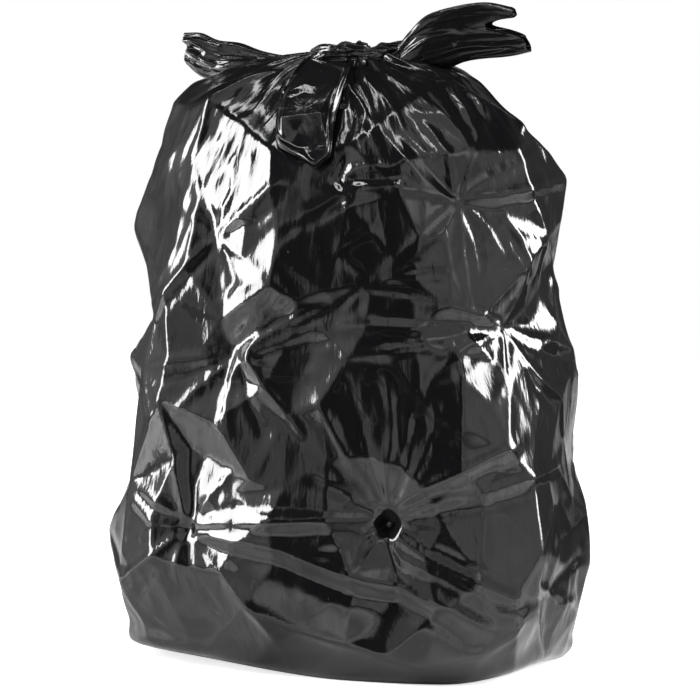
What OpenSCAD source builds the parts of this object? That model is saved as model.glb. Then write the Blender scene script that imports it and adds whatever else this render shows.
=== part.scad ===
// A full bin bag of thin black film, standing on the floor, closed by a knot of its own neck.
// The front faces -Y, up is +Z, and the origin is on the floor under the neck. Units are mm.
// A place on the film is [around, along]: mm around the bag from its front centre line,
// positive towards +X, and mm along the film from the edge of its footprint up to the neck.

/* [Bag] */
// Width across the belly
belly_width = 496; // [440:2:560]
// Depth of the belly, front to back
belly_depth = 376; // [330:2:430]
// Width at the waist
waist_width = 444; // [400:2:500]
// Depth at the waist
waist_depth = 344; // [300:2:400]
// Width across the shoulders
shoulder_width = 460; // [410:2:520]
// Depth across the shoulders
shoulder_depth = 320; // [280:2:370]
// Height of the gathered neck above the floor
neck_height = 650; // [600:5:700]
// Width of the gathered neck
neck_width = 96; // [70:2:110]

/* [Folds] */
// Depth of the deepest star, where creases meet
star_depth = 22; // [6:1:26]
// Height of the pleats that run into the neck
pleat_height = 7; // [2:0.5:9]
// Number of pleats around the neck
pleats = 22; // [14:1:26]
// Height by which the underside tucks up at its front corners
tuck_height = 16; // [0:1:20]

/* [Knot and ears] */
// Thickness of the strands in the knot
strand = 22; // [16:1:26]
// Length of the right ear, from the knot to its open mouth
right_ear_length = 168; // [120:2:200]
// Length of the left ear, from the knot to its open mouth
left_ear_length = 200; // [140:2:220]
// Width of an ear across its mouth
ear_width = 60; // [44:2:70]
// Thickness of the gathered film around an ear's mouth
ear_wall = 2; // [1.6:0.2:4]

/* [Hidden] */

film_black = [0.06, 0.06, 0.07];
table_steps = 160;

// Each level of the filled bag: height, half width, half depth, squareness, sideways shift
levels = [
    [0, 0.46 * belly_width, 0.42 * belly_depth, 3.4, 0],
    [0.012 * neck_height, 0.484 * belly_width, 0.466 * belly_depth, 3.8, 0],
    [0.07 * neck_height, 0.497 * belly_width, 0.496 * belly_depth, 4.2, 0],
    [0.185 * neck_height, 0.5 * belly_width, 0.5 * belly_depth, 4, 0],
    [0.43 * neck_height, 0.25 * (belly_width + waist_width), 0.25 * (belly_depth + waist_depth), 3.4, 0],
    [0.6 * neck_height, 0.5 * waist_width, 0.5 * waist_depth, 3, -2],
    [0.74 * neck_height, 0.5 * shoulder_width, 0.5 * shoulder_depth, 2.8, -3],
    [0.86 * neck_height, 0.47 * shoulder_width, 0.405 * shoulder_depth, 2.5, -7],
    [0.94 * neck_height, 0.392 * shoulder_width, 0.28 * shoulder_depth, 2.3, -12],
    [0.981 * neck_height, 0.255 * shoulder_width, 0.165 * shoulder_depth, 2.1, -10],
    [neck_height, 0.5 * neck_width, 0.3 * neck_width, 2, 0],
    [1.006 * neck_height, 0.22 * neck_width, 0.1 * neck_width, 2, 0]
];
top_level = len(levels) - 1;

// Creases run from star to star and cut the film into flat facets. A star is mm around,
// mm along, and height over the smooth bag, drawn for a deepest star of the depth given here.
drawn_depth = 22;
high_star = [-109, 470, -14];
high_edge_top = [-46, 564, 2];
high_edge = [-23, 484, 5];
high_edge_foot = [-25, 421, 7];
waist_star = [-77, 357, -18];
waist_foot = [-59, 346, -14];
right_star = [206, 511, -13];
middle_star = [89, 427, -6];
right_waist_star = [255, 377, -13];
low_star = [97, 178, -22];
left_low_star = [-122, 162, -21];
finger_tip = [54, 533, -5];
side_tip = [274, 495, -9];
side_corner = [396, 526, 7];
side_waist = [302, 379, -8];
side_low_corner = [400, 170, 8];
right_foot = [302, 100, -8];
loop_foot = [40, 529, 0];

creases = [
    [[-324, 652, 3], [-309, 625, 1], [-241, 613, -3], [-202, 620, 1], [-122, 598, -3], high_edge_top],
    [high_edge_top, loop_foot],
    [[-241, 613, -3], [-179, 554, -9], high_star],
    [[-202, 620, 1], [-179, 554, -9]],
    [high_star, [-90, 386, -9], waist_star],
    [high_star, high_edge_foot, waist_star],
    [[-90, 386, -9], high_edge_foot],
    [high_edge_top, [-36, 524, 4], high_edge, [-22, 452, 4], high_edge_foot],
    [high_star, [-66, 490, -4], [-36, 524, 4]],
    [high_edge, [21, 487, 5], [68, 501, 6], [120, 514, 2]],
    [high_edge_top, [0, 524, 2], [60, 516, 1]],
    [high_star, [-145, 438, -5], [-205, 384, -4]],
    [waist_star, [-30, 396, 0], [40, 415, 2], middle_star],
    [waist_star, waist_foot, [0, 378, 2], [50, 404, 2], middle_star],
    [waist_foot, [-5, 288, 5], [40, 240, 4], low_star],
    [waist_star, [-160, 340, -3], [-212, 328, -3]],
    [waist_star, [-93, 277, -12], [-127, 249, -16], left_low_star],
    [[-93, 277, -12], [-103, 242, -18], [-114, 214, -17], left_low_star],
    [[-103, 242, -18], [-44, 217, -1], [-10, 212, 2]],
    [[-114, 214, -17], [-66, 204, -8], [-10, 212, 2], [40, 240, 4]],
    [finger_tip, [100, 548, 4], [150, 552, 5], right_star],
    [finger_tip, [130, 521, 4], right_star],
    [right_star, [150, 470, 3], middle_star],
    [right_star, [176, 476, 2], [114, 430, -1], middle_star],
    [right_star, [300, 520, 3], side_corner],
    [right_star, side_tip],
    [right_star, [203, 450, 3], [198, 398, 3]],
    [side_tip, [330, 472, 4], [388, 446, -5]],
    [side_tip, [290, 445, 2], side_waist],
    [side_waist, [340, 412, 0], [388, 446, -5], side_corner],
    [side_waist, [357, 366, 8], [408, 343, 8]],
    [middle_star, [140, 428, 2], [182, 432, 3]],
    [middle_star, [180, 403, 4], right_waist_star],
    [[30, 378, 3], [140, 380, 4], right_waist_star],
    [[20, 350, 2], [110, 352, 5], [205, 362, 2], right_waist_star],
    [right_waist_star, [318, 354, 3], [408, 343, 8]],
    [right_waist_star, [272, 335, 2], [308, 318, 5], [352, 300, 6], [366, 255, 0]],
    [right_waist_star, [229, 343, 1], [187, 356, 3], [185, 326, 9]],
    [[185, 326, 9], [229, 343, 1]],
    [[185, 326, 9], [181, 280, 12], [178, 234, 11]],
    [[178, 234, 11], [144, 245, 2], [134, 310, 1], [187, 356, 3]],
    [right_waist_star, [240, 325, -1], [212, 300, 3]],
    [left_low_star, [-20, 176, 11], [40, 182, 9], low_star],
    [left_low_star, [-165, 176, -4], [-216, 200, -3]],
    [left_low_star, [-158, 132, -2], [-212, 98, 0]],
    [left_low_star, [-75, 120, 4], [-45, 88, 5], [-15, 50, 0]],
    [left_low_star, [-62, 151, 3], [-12, 140, 4], [70, 118, 3], [151, 91, 2], [196, 70, 0]],
    [[-45, 88, 5], [10, 68, 4], [60, 52, 3], [140, 30, 0]],
    [left_low_star, [-140, 236, -12], [-168, 300, -5]],
    [low_star, [142, 218, 4], [178, 234, 11], [228, 255, 7], [280, 264, 5], [318, 250, 2]],
    [low_star, [200, 212, 5], [262, 226, 4], [335, 226, 2]],
    [low_star, [160, 180, 3]],
    [low_star, [140, 147, 4], [190, 122, 5], [224, 102, 4], right_foot],
    [low_star, [60, 250, 2], [30, 300, 3]],
    [low_star, [118, 240, 3], [134, 310, 1]],
    [[292, 186, 5], [260, 146, 5], [224, 102, 4]],
    [[262, 226, 4], [292, 186, 5], [335, 192, 0], [375, 189, 3]],
    [[318, 250, 2], [335, 226, 2]],
    [[292, 186, 5], right_foot, [352, 116, 2], [375, 189, 3]],
    [right_foot, [226, 72, 2], [196, 46, 0]],
    [right_foot, [345, 84, 2], [388, 62, 2]],
    [[335, 226, 2], [375, 189, 3], side_low_corner, [420, 112, 4]],
    [side_corner, [331, 590, 3], [262, 650, 3]],
    [loop_foot, [74, 568, 3], [160, 606, 3], [262, 650, 3]],
    [[74, 568, 3], [100, 548, 4]],
    [right_star, [236, 560, 4], [228, 606, 3], [262, 650, 3]],
    [[236, 560, 4], [300, 560, -2], side_corner]
];

// Lumps of what fills the bag press outward: place, reach, height
lumps = [
    [[403, 540], 70, 5],
    [[420, 300], 80, 7],
    [[440, 160], 80, 5],
    [[-250, 460], 80, -5],
    [[-245, 560], 70, 7],
    [[0, 120], 110, 5],
    [[200, 300], 60, 4],
    [[-600, 500], 110, 9],
    [[-480, 300], 90, 8],
    [[-700, 200], 110, 8],
    [[560, 260], 90, 8],
    [[600, 620], 90, 6]
];

function smooth(x) = let (t = min(1, max(0, x))) t * t * (3 - 2 * t);

// Smooth curve through the levels, by cubic pieces with the mean slope of the neighbours
function level_slope(i) =
    i == 0 ? levels[1] - levels[0]
    : i == top_level ? levels[i] - levels[i - 1]
    : (levels[i + 1] - levels[i - 1]) / 2;
function level_at(v) =
    let (i = min(floor(v), top_level - 1), t = v - i)
    (2 * t ^ 3 - 3 * t ^ 2 + 1) * levels[i] + (t ^ 3 - 2 * t ^ 2 + t) * level_slope(i)
    + (3 * t ^ 2 - 2 * t ^ 3) * levels[i + 1] + (t ^ 3 - t ^ 2) * level_slope(i + 1);

// Radius of a rounded oblong at an angle from its front
function oblong(angle, a, b, p) =
    (abs(sin(angle) / a) ^ p + abs(cos(angle) / b) ^ p) ^ (-1 / p);
function shell_point(angle, v) =
    let (q = level_at(v), r = oblong(angle, q[1], q[2], q[3]))
    [q[4] + r * sin(angle), -r * cos(angle), q[0]];

// Tables of length along the film, each made by adding up short steps
function rib_point(k) =
    let (angle = 360 * k / table_steps, r = oblong(angle, 0.484 * belly_width, 0.487 * belly_depth, 3.4))
    [r * sin(angle), -r * cos(angle)];
around_table = [
    for (k = 0, s = 0; k <= table_steps; s = s + norm(rib_point(k + 1) - rib_point(k)), k = k + 1)
        [s, 360 * k / table_steps]
];
girth = around_table[table_steps][0];
function profile_point(k) =
    let (q = level_at(top_level * k / table_steps)) [(q[1] + q[2]) / 2, q[0]];
along_table = [
    for (k = 0, m = 0; k <= table_steps; m = m + norm(profile_point(k + 1) - profile_point(k)), k = k + 1)
        [m, top_level * k / table_steps]
];
film_length = along_table[table_steps][0];

function wrap(s) = let (x = s + girth / 2) x - girth * floor(x / girth) - girth / 2;
function film_point(s, m) =
    let (from_front = wrap(s), turned = from_front < 0 ? from_front + girth : from_front)
    shell_point(lookup(turned, around_table), lookup(m, along_table));

// Stars of the back and the sides, where nothing is seen: pushed out and pinched in by turns,
// on a grid that is scattered a little: mm around, mm along and mm in height
scattering = [22, 20, 3];
back_out = 6;
back_in = -10;
back_from = 470;
back_to = girth - 290;
back_low = 50;
back_high = film_length - 190;
back_columns = 9;
back_rows = 7;
function scatter(number, rate) = let (x = number * rate) 2 * (x - floor(x)) - 1;
back_stars = [
    for (i = [0 : back_rows - 1], k = [0 : back_columns - 1])
        let (
            number = i * back_columns + k,
            around = back_from + (k + 0.5 * (i % 2)) * (back_to - back_from) / (back_columns - 0.5),
            along = back_low + i * (back_high - back_low) / (back_rows - 1)
        )
        [
            around + scattering[0] * scatter(number, 0.7549),
            along + scattering[1] * scatter(number, 0.5698),
            ((i + k) % 2 == 1 ? back_out : back_in) + scattering[2] * scatter(number, 0.618)
        ]
];

// A plain row of stars on the edge of the footprint
foot_stars = 23;
foot_row = [for (k = [0 : foot_stars - 1]) [-girth / 2 + (k + 0.5) * girth / foot_stars, 0, 0]];

// Pleats run into the neck: rows of stars by turns on a pleat's ridge and in its groove, with
// one star for each pleat below them. A row is mm from the film's upper end, and share of the
// pleats' height.
neck_rows = [[-68, 0.5], [-24, 0.4], [0, 0]];
pleat_starts = -112;
pleat_scattering = [8, 10];
neck_scattering = [4, 5];
neck_stars = concat(
    [
        for (k = [0 : pleats - 1])
            [
                -girth / 2 + (k + 0.5) * girth / pleats + pleat_scattering[0] * scatter(k, 0.7549),
                film_length + pleat_starts + pleat_scattering[1] * scatter(k, 0.5698),
                0.4 * pleat_height * scatter(k, 0.618)
            ]
    ],
    [
        for (row = neck_rows, k = [0 : 2 * pleats - 1])
            [
                -girth / 2 + (k + 0.3) * girth / (2 * pleats) + neck_scattering[0] * scatter(k, 0.7549),
                film_length + row[0] + (row[0] == 0 ? 0 : neck_scattering[1] * scatter(k, 0.5698)),
                row[1] * pleat_height * (k % 2 == 0 ? 1 : -1)
            ]
    ]
);

// A long stretch of a crease gets a star halfway, so that the facets keep to it
longest_stretch = 72;
function with_halfways(line) = [
    for (k = [0 : len(line) - 1])
        let (last = k == 0 ? line[0] : line[k - 1])
        each norm([line[k].x - last.x, line[k].y - last.y]) > longest_stretch
            ? [(line[k] + last) / 2, line[k]]
            : [line[k]]
];
function same_place(a, b) = abs(a.x - b.x) < 1 && abs(a.y - b.y) < 1;
function unlike(stars) = [
    for (k = [0 : len(stars) - 1])
        if (len([for (j = [0 : 1 : k - 1]) if (same_place(stars[j], stars[k])) j]) == 0) stars[k]
];
pressed_stars = [
    for (star = concat([for (line = creases) each with_halfways(line)], back_stars))
        [star.x, star.y, star.z * star_depth / drawn_depth]
];
all_stars = [
    for (star = unlike(concat(pressed_stars, foot_row, neck_stars))) [wrap(star.x), star.y, star.z]
];

// The bag closes on itself, so the stars near the back seam show up on both sides of it
seam_reach = 320;
net_stars = concat(
    all_stars,
    [for (star = all_stars) if (star.x > girth / 2 - seam_reach) star - [girth, 0, 0]],
    [for (star = all_stars) if (star.x < seam_reach - girth / 2) star + [girth, 0, 0]]
);

// Circle through three places, as [centre around, centre along, radius squared]
function circle_through(a, b, c) =
    let (
        u = [b.x - a.x, b.y - a.y],
        w = [c.x - a.x, c.y - a.y],
        turn = 2 * (u.x * w.y - u.y * w.x),
        x = (w.y * (u * u) - u.y * (w * w)) / turn,
        y = (u.x * (w * w) - w.x * (u * u)) / turn
    )
    [a.x + x, a.y + y, x * x + y * y];

// Facets between the stars, one star added at a time: each facet whose circle holds the new
// star goes, and the hole is closed from its rim to that star. The first facet holds them all,
// and a star on the very edge of a circle counts as outside it.
far = 40 * girth;
corners = concat(net_stars, [[-far, -far, 0], [far, -far, 0], [0, far, 0]]);
function with_circle(i, j, k) =
    concat([i, j, k], circle_through(corners[i], corners[j], corners[k]));
strictly = 0.999999999;
function inside_circle(t, p) = (p.x - t[3]) ^ 2 + (p.y - t[4]) ^ 2 < t[5] * strictly;
function opposite(side, sides) =
    len([for (other = sides) if (side[0] == other[1] && side[1] == other[0]) 1]) > 0;
function with_star(found, i) =
    i == len(net_stars) ? found
    : let (
        hit = [for (t = found) if (inside_circle(t, corners[i])) t],
        left = [for (t = found) if (!inside_circle(t, corners[i])) t],
        sides = [for (t = hit, side = [[t[0], t[1]], [t[1], t[2]], [t[2], t[0]]]) side],
        closed = [for (side = sides) if (!opposite(side, sides)) with_circle(side[0], side[1], i)]
    )
    with_star(concat(left, closed), i + 1);
first = len(net_stars);
facets = [
    for (t = with_star([with_circle(first, first + 1, first + 2)], 0))
        if (max(t[0], t[1], t[2]) < first) [t[0], t[1], t[2]]
];

// How far the lumps push a place out
function lump_relief(p) =
    sum([
        for (c = lumps)
            c[2] * smooth(1 - norm([wrap(p[0] - c[0][0]), p[1] - c[0][1]]) / c[1])
    ]);
function sum(list) = len(list) == 0 ? 0 : list * [for (x = list) 1];

// The underside leaves the floor at the front corners
function tuck(s) = max(smooth(1 - abs(wrap(s + 190)) / 250), 0.7 * smooth(1 - abs(wrap(s - 300)) / 130));
function tucked(q, s, m) =
    m <= 0 ? [q.x, q.y, 0] * (1 - 0.4 * tuck(s)) : q + [0, 0, tuck_height * tuck(s) * smooth(1 - m / 110)];

function outward(s, m) =
    let (
        low = min(m, film_length - 2),
        q = film_point(s, low),
        n = cross(film_point(s + 1, low) - q, film_point(s, low + 1) - q)
    )
    n / norm(n);
star_points = [for (star = net_stars) film_point(star.x, star.y) + star.z * outward(star.x, star.y)];

// A place in a facet, by its three weights: flat, but mixed with the round bag at the same
// height near the floor, pressed in a little in its middle, and pushed out by the lumps. It is
// rounded to a fine grain, so that neighbouring facets share their corners exactly.
flatness = 0.9;
facet_sag = 2;
grain = 0.001;
function facet_point(t, share) =
    let (
        s = share * [for (i = t) net_stars[i].x],
        m = share * [for (i = t) net_stars[i].y],
        inner = m > grain && m < film_length - grain,
        way_out = inner ? outward(s, m) : [0, 0, 0],
        ends = smooth(m / 40) * smooth((film_length - m) / 120),
        flat_place = share * [for (i = t) star_points[i]],
        round_place = film_point(s, m) + way_out * (share * [for (i = t) net_stars[i].z]),
        place = round_place + (inner ? flatness * smooth((m + 20) / 60) : 0) * (flat_place - round_place),
        sag = facet_sag * 27 * share[0] * share[1] * share[2],
        point = tucked(place + way_out * ends * (lump_relief([wrap(s), m]) - sag), s, m)
    )
    [for (x = point) grain * round(x / grain)];

// Every facet is cut into small ones along rows parallel to its sides
cuts = 3;
function facet_grid(t) = [
    for (i = [0 : cuts], j = [0 : cuts - i])
        facet_point(t, [cuts - i - j, i, j] / cuts)
];
function grid_index(i, j) = i * (cuts + 1) - i * (i - 1) / 2 + j;
small_faces = [
    for (i = [0 : cuts - 1], j = [0 : cuts - 1 - i])
        each concat(
            [[grid_index(i, j), grid_index(i, j + 1), grid_index(i + 1, j)]],
            j < cuts - 1 - i ? [[grid_index(i + 1, j), grid_index(i, j + 1), grid_index(i + 1, j + 1)]] : []
        )
];

// Each facet belongs to the bag once: the copy whose middle lies on this side of the back seam
function middle_of(t) = (net_stars[t[0]].x + net_stars[t[1]].x + net_stars[t[2]].x) / 3;
bag_facets = [for (t = facets) if (middle_of(t) >= -girth / 2 && middle_of(t) < girth / 2) t];

// The row of stars at one end of the film, in order around it, cut like the facets are
function row_at(m) =
    let (row = [for (i = [0 : len(all_stars) - 1]) if (abs(all_stars[i].y - m) < 0.01) i])
    [for (place = sorted([for (i = row) [all_stars[i].x, i]])) place[1]];
function sorted(list) =
    len(list) < 2 ? list
    : let (
        pivot = list[floor(len(list) / 2)][0],
        low = [for (x = list) if (x[0] < pivot) x],
        same = [for (x = list) if (x[0] == pivot) x],
        high = [for (x = list) if (x[0] > pivot) x]
    )
    concat(sorted(low), same, sorted(high));
function end_ring(row) = [
    for (k = [0 : len(row) - 1], step = [0 : cuts - 1])
        let (
            a = net_stars[row[k]],
            b = net_stars[row[(k + 1) % len(row)]] + (k == len(row) - 1 ? [girth, 0, 0] : [0, 0, 0]),
            place = a + (b - a) * step / cuts,
            point = tucked(film_point(place.x, place.y), place.x, place.y)
        )
        [for (x = point) grain * round(x / grain)]
];

module filled_film() {
    grid_size = (cuts + 1) * (cuts + 2) / 2;
    foot = end_ring(row_at(0));
    top = end_ring(row_at(film_length));
    film_points = [for (t = bag_facets) each facet_grid(t)];
    film_faces = [
        for (k = [0 : len(bag_facets) - 1], face = small_faces) [for (i = face) k * grid_size + i]
    ];
    n = len(film_points);
    color(film_black)
        polyhedron(
            concat(film_points, foot, top),
            concat(
                film_faces,
                [[for (k = [0 : len(foot) - 1]) n + k]],
                [[for (k = [len(top) - 1 : -1 : 0]) n + len(foot) + k]]
            ),
            convexity = 6
        );
}

// Faces that close a pile of rings, each with n points, all walked the same way round
function pile_faces(rings, n) = concat(
    [[for (j = [0 : n - 1]) j]],
    [
        for (i = [0 : rings - 2], j = [0 : n - 1])
            let (a = i * n + j, b = i * n + (j + 1) % n)
            each [[a, b + n, b], [a, a + n, b + n]]
    ],
    [[for (j = [n - 1 : -1 : 0]) (rings - 1) * n + j]]
);

// A strand of gathered film: balls along a way, each pair drawn together
module strand_along(way, thickness) {
    for (k = [0 : len(way) - 2])
        hull()
            for (stop = [way[k], way[k + 1]])
                translate([stop.x, stop.y, stop.z]) sphere(d = thickness * stop[3], $fn = 8);
}

// Ways of the knot's strands from the neck's top centre: x, y, z, and share of the thickness
loop_way = [
    for (k = [0 : 10])
        let (turn = 36 * k, rise = 5 * sin(2 * turn) - 9 - 7 * sin(turn))
        [37 * cos(turn) + 3, 29 * sin(turn) - 8, rise, 1 + 0.14 * cos(3 * turn)]
];
crossing_way = [[-34, -34, -30, 1], [-16, -47, -12, 1.3], [6, -40, 1, 1.2], [22, -18, 2, 1.2]];
right_way = [[-6, -40, -22, 1], [18, -32, -10, 1.1], [42, -18, -3, 1], [60, -10, -3, 0.9]];
left_way = [[12, 10, -5, 1.2], [-14, 16, -5, 1.2], [-44, 20, -9, 1], [-66, 22, -12, 0.9]];
core_way = [[-20, -2, -8, 1.8], [20, -2, -8, 1.8]];

// The ways are drawn for a neck of this width, and the knot grows with it
drawn_neck = 96;
knot_growth = neck_width / drawn_neck;
function on_neck(way) =
    [for (stop = way) [stop.x * knot_growth, stop.y * knot_growth, stop.z, stop[3]]];

// Gathered film fills the middle of the knot
heart = [0.56 * neck_width, 0.5 * neck_width, 0.95 * strand];
heart_place = [0, -9, -16.4];

module knot() {
    color(film_black)
        translate([0, 0, neck_height]) {
            for (way = [loop_way, crossing_way, right_way, left_way, core_way])
                strand_along(on_neck(way), strand);
            translate(heart_place) scale(heart) sphere(1, $fn = 16);
        }
}

// A loop of film hangs from the knot down the front: a flat pouch with a rolled rim, drawn as
// x and the height over the neck's top, and laid on the front of the smooth bag, with its
// back seated in the folds there
loop_outline = [
    [-30, 2], [-43, -22], [-47, -44], [-44, -66], [-36, -90], [-14, -106],
    [16, -119], [29, -106], [24, -80], [22, -42], [14, -2]
];
loop_film = 5;
loop_rim = 8;
loop_seat = 14;
height_table = [for (k = [0 : table_steps]) let (v = top_level * k / table_steps) [level_at(v)[0], v]];
function front_of_bag(x, z) =
    let (q = level_at(lookup(z, height_table)), across = min(0.9, abs((x - q[4]) / q[1])))
    -q[2] * (1 - across ^ q[3]) ^ (1 / q[3]);
loop_top = -12;
loop_ring = [
    for (place = loop_outline)
        let (y = front_of_bag(place.x, neck_height + min(place.y, loop_top)))
        [place.x, y, neck_height + place.y, 1]
];
module hanging_loop() {
    color(film_black) {
        hull()
            for (stop = loop_ring, inward = [0, loop_seat])
                translate([stop.x, stop.y + inward, stop.z]) sphere(d = loop_film, $fn = 8);
        strand_along(concat(loop_ring, [loop_ring[0]]), loop_rim);
    }
}

// An ear: a flattened, pleated funnel of film from the knot, hollow at its open mouth.
// Its width stands up, its mouth reaches further below than above, and is notched between.
ear_rings = 9;
ear_lining = 4;
ear_sides = 20;
ear_thickness = 0.42;
ear_root = 0.28;
function ear_point(t, angle, length, width, slant, notch, shrink) =
    let (
        spread = ear_root + (1 - ear_root) * smooth(t * 1.7),
        crease = 1 + 0.12 * t * cos(5 * angle + 40) + 0.08 * t * cos(9 * angle),
        high = (width / 2 * spread * crease - shrink) * cos(angle),
        deep = (width / 2 * ear_thickness * spread * (1.3 - 0.3 * t) * crease - shrink) * sin(angle),
        cut_back = slant * (0.5 + 0.5 * cos(angle)) + notch * exp(-(((cos(angle) - 0.25) / 0.3) ^ 2))
    )
    [length * t - cut_back * t ^ 3, -deep, high];
module ear(length, width, slant, notch) {
    stations = concat(
        [for (i = [0 : ear_rings]) [i / ear_rings, 0]],
        [for (i = [0 : ear_lining]) [1 - 0.11 * i, ear_wall]]
    );
    color(film_black)
        polyhedron(
            [
                for (at = stations, k = [0 : ear_sides - 1])
                    ear_point(at[0], 360 * k / ear_sides, length, width, slant, notch, at[1])
            ],
            pile_faces(len(stations), ear_sides),
            convexity = 8
        );
}
module right_ear() {
    translate([28, -22, neck_height - 3])
        rotate([0, -11, 3])
            ear(right_ear_length, ear_width, 20, 30);
}
module left_ear() {
    translate([-16, 18, neck_height - 7])
        rotate([0, -2, 171])
            ear(left_ear_length, 0.8 * ear_width, -8, 8);
}

module bag() {
    filled_film();
    knot();
    hanging_loop();
    right_ear();
    left_ear();
}

bag();
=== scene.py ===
# %% [markdown]
# A full bin bag, tied and standing on the floor
#
# The real thing is a tube of thin black film, welded shut at the bottom, filled, gathered at the
# neck and tied. Nothing about it is rigid: what it holds pushes the film out, the knot pulls it
# up, and where the two pulls meet the film breaks into flat facets with sharp creases between
# them. So this lesson is mostly about creases. The CAD model already holds the bag's size and
# its main folds; here the same film is worked out again on a much finer grid and dressed.

# %% Load the frame
import math

import bpy
import numpy as np
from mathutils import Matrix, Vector
from mathutils.geometry import delaunay_2d_cdt


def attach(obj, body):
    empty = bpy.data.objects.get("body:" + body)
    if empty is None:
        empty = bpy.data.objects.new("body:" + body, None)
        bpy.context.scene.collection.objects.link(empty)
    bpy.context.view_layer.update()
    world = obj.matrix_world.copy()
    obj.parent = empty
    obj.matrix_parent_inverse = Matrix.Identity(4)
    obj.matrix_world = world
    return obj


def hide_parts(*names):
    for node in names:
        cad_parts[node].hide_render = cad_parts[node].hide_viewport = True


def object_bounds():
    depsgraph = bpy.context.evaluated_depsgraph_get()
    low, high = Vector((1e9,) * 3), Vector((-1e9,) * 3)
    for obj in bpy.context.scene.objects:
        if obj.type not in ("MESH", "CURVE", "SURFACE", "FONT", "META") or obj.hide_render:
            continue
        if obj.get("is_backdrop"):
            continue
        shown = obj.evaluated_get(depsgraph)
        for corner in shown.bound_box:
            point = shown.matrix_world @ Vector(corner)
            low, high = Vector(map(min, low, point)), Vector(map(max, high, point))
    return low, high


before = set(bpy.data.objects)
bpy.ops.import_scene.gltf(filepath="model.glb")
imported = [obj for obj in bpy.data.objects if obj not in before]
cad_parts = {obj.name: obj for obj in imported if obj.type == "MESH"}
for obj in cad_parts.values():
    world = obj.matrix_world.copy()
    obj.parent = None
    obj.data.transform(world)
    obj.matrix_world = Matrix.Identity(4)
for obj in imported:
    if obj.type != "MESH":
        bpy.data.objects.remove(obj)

MM = 0.001
cad_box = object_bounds()
print("CAD box:", [[round(float(x), 3) for x in corner] for corner in cad_box])

# %% [markdown]
# The camera
#
# The photograph looks at the bag a little from the right of its front and a few degrees down,
# from four fifths of the bag's height, through a long lens: the left and right sides hardly
# converge. A lens is easy to place when one plane is known, so the camera is set by how many
# metres the 700 pixels span at the bag's middle.

# %% Set the camera
CAMERA_AZIMUTH = 20
CAMERA_DISTANCE = 3.0
CAMERA_HEIGHT = 0.56
TARGET_HEIGHT = 0.331
SEEN_WIDTH = 0.761
SHIFT_PIXELS = 2
PHOTO_PIXELS = 700


def direction(azimuth, elevation):
    """The unit vector at two angles in degrees: (sin a cos e, -cos a cos e, sin e)."""
    a, e = math.radians(azimuth), math.radians(elevation)
    return np.array([math.sin(a) * math.cos(e), -math.cos(a) * math.cos(e), math.sin(e)])


def add_object(name, data):
    """An object for a mesh, lamp or camera, linked to the scene and left at the origin."""
    obj = bpy.data.objects.new(name, data)
    bpy.context.scene.collection.objects.link(obj)
    return obj


def set_camera():
    """A camera on a circle around the bag, turned to its target. Its lens follows from the
    width seen there: sensor width x distance / seen width."""
    place = Vector(CAMERA_DISTANCE * direction(CAMERA_AZIMUTH, 0) + (0, 0, CAMERA_HEIGHT))
    target = Vector((0, 0, TARGET_HEIGHT))
    data = bpy.data.cameras.new("camera")
    data.lens = data.sensor_width * (target - place).length / SEEN_WIDTH
    data.shift_x = -SHIFT_PIXELS / PHOTO_PIXELS
    camera = add_object("camera", data)
    camera.location = place
    camera.rotation_euler = (target - place).to_track_quat("-Z", "Y").to_euler()
    bpy.context.scene.camera = camera
    print("lens", round(data.lens, 1), "mm")


set_camera()

# %% [markdown]
# The filled shape under the creases
#
# Seen without its creases the bag is a pile of rounded oblongs: wide and squarish at the belly,
# narrower at the waist, and drawn in towards the neck. A superellipse gives such an oblong with
# four numbers, and a smooth curve through a few levels gives all the heights between them. A
# sphere pushed into shape would need far more handwork for the same control.

# %% Levels of the filled bag
BELLY_WIDTH, BELLY_DEPTH = 496, 376
WAIST_WIDTH, WAIST_DEPTH = 444, 344
SHOULDER_WIDTH, SHOULDER_DEPTH = 460, 320
NECK_HEIGHT, NECK_WIDTH = 650, 96

# height, half width, half depth, squareness, sideways shift
LEVELS = np.array([
    [0, 0.46 * BELLY_WIDTH, 0.42 * BELLY_DEPTH, 3.4, 0],
    [0.012 * NECK_HEIGHT, 0.484 * BELLY_WIDTH, 0.466 * BELLY_DEPTH, 3.8, 0],
    [0.07 * NECK_HEIGHT, 0.497 * BELLY_WIDTH, 0.496 * BELLY_DEPTH, 4.2, 0],
    [0.185 * NECK_HEIGHT, 0.5 * BELLY_WIDTH, 0.5 * BELLY_DEPTH, 4, 0],
    [0.43 * NECK_HEIGHT, 0.25 * (BELLY_WIDTH + WAIST_WIDTH), 0.25 * (BELLY_DEPTH + WAIST_DEPTH), 3.4, 0],
    [0.6 * NECK_HEIGHT, 0.5 * WAIST_WIDTH, 0.5 * WAIST_DEPTH, 3, -2],
    [0.74 * NECK_HEIGHT, 0.5 * SHOULDER_WIDTH, 0.5 * SHOULDER_DEPTH, 2.8, -3],
    [0.86 * NECK_HEIGHT, 0.47 * SHOULDER_WIDTH, 0.405 * SHOULDER_DEPTH, 2.5, -7],
    [0.94 * NECK_HEIGHT, 0.392 * SHOULDER_WIDTH, 0.28 * SHOULDER_DEPTH, 2.3, -12],
    [0.981 * NECK_HEIGHT, 0.255 * SHOULDER_WIDTH, 0.165 * SHOULDER_DEPTH, 2.1, -10],
    [NECK_HEIGHT, 0.5 * NECK_WIDTH, 0.3 * NECK_WIDTH, 2, 0],
    [1.006 * NECK_HEIGHT, 0.22 * NECK_WIDTH, 0.1 * NECK_WIDTH, 2, 0],
])


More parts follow.
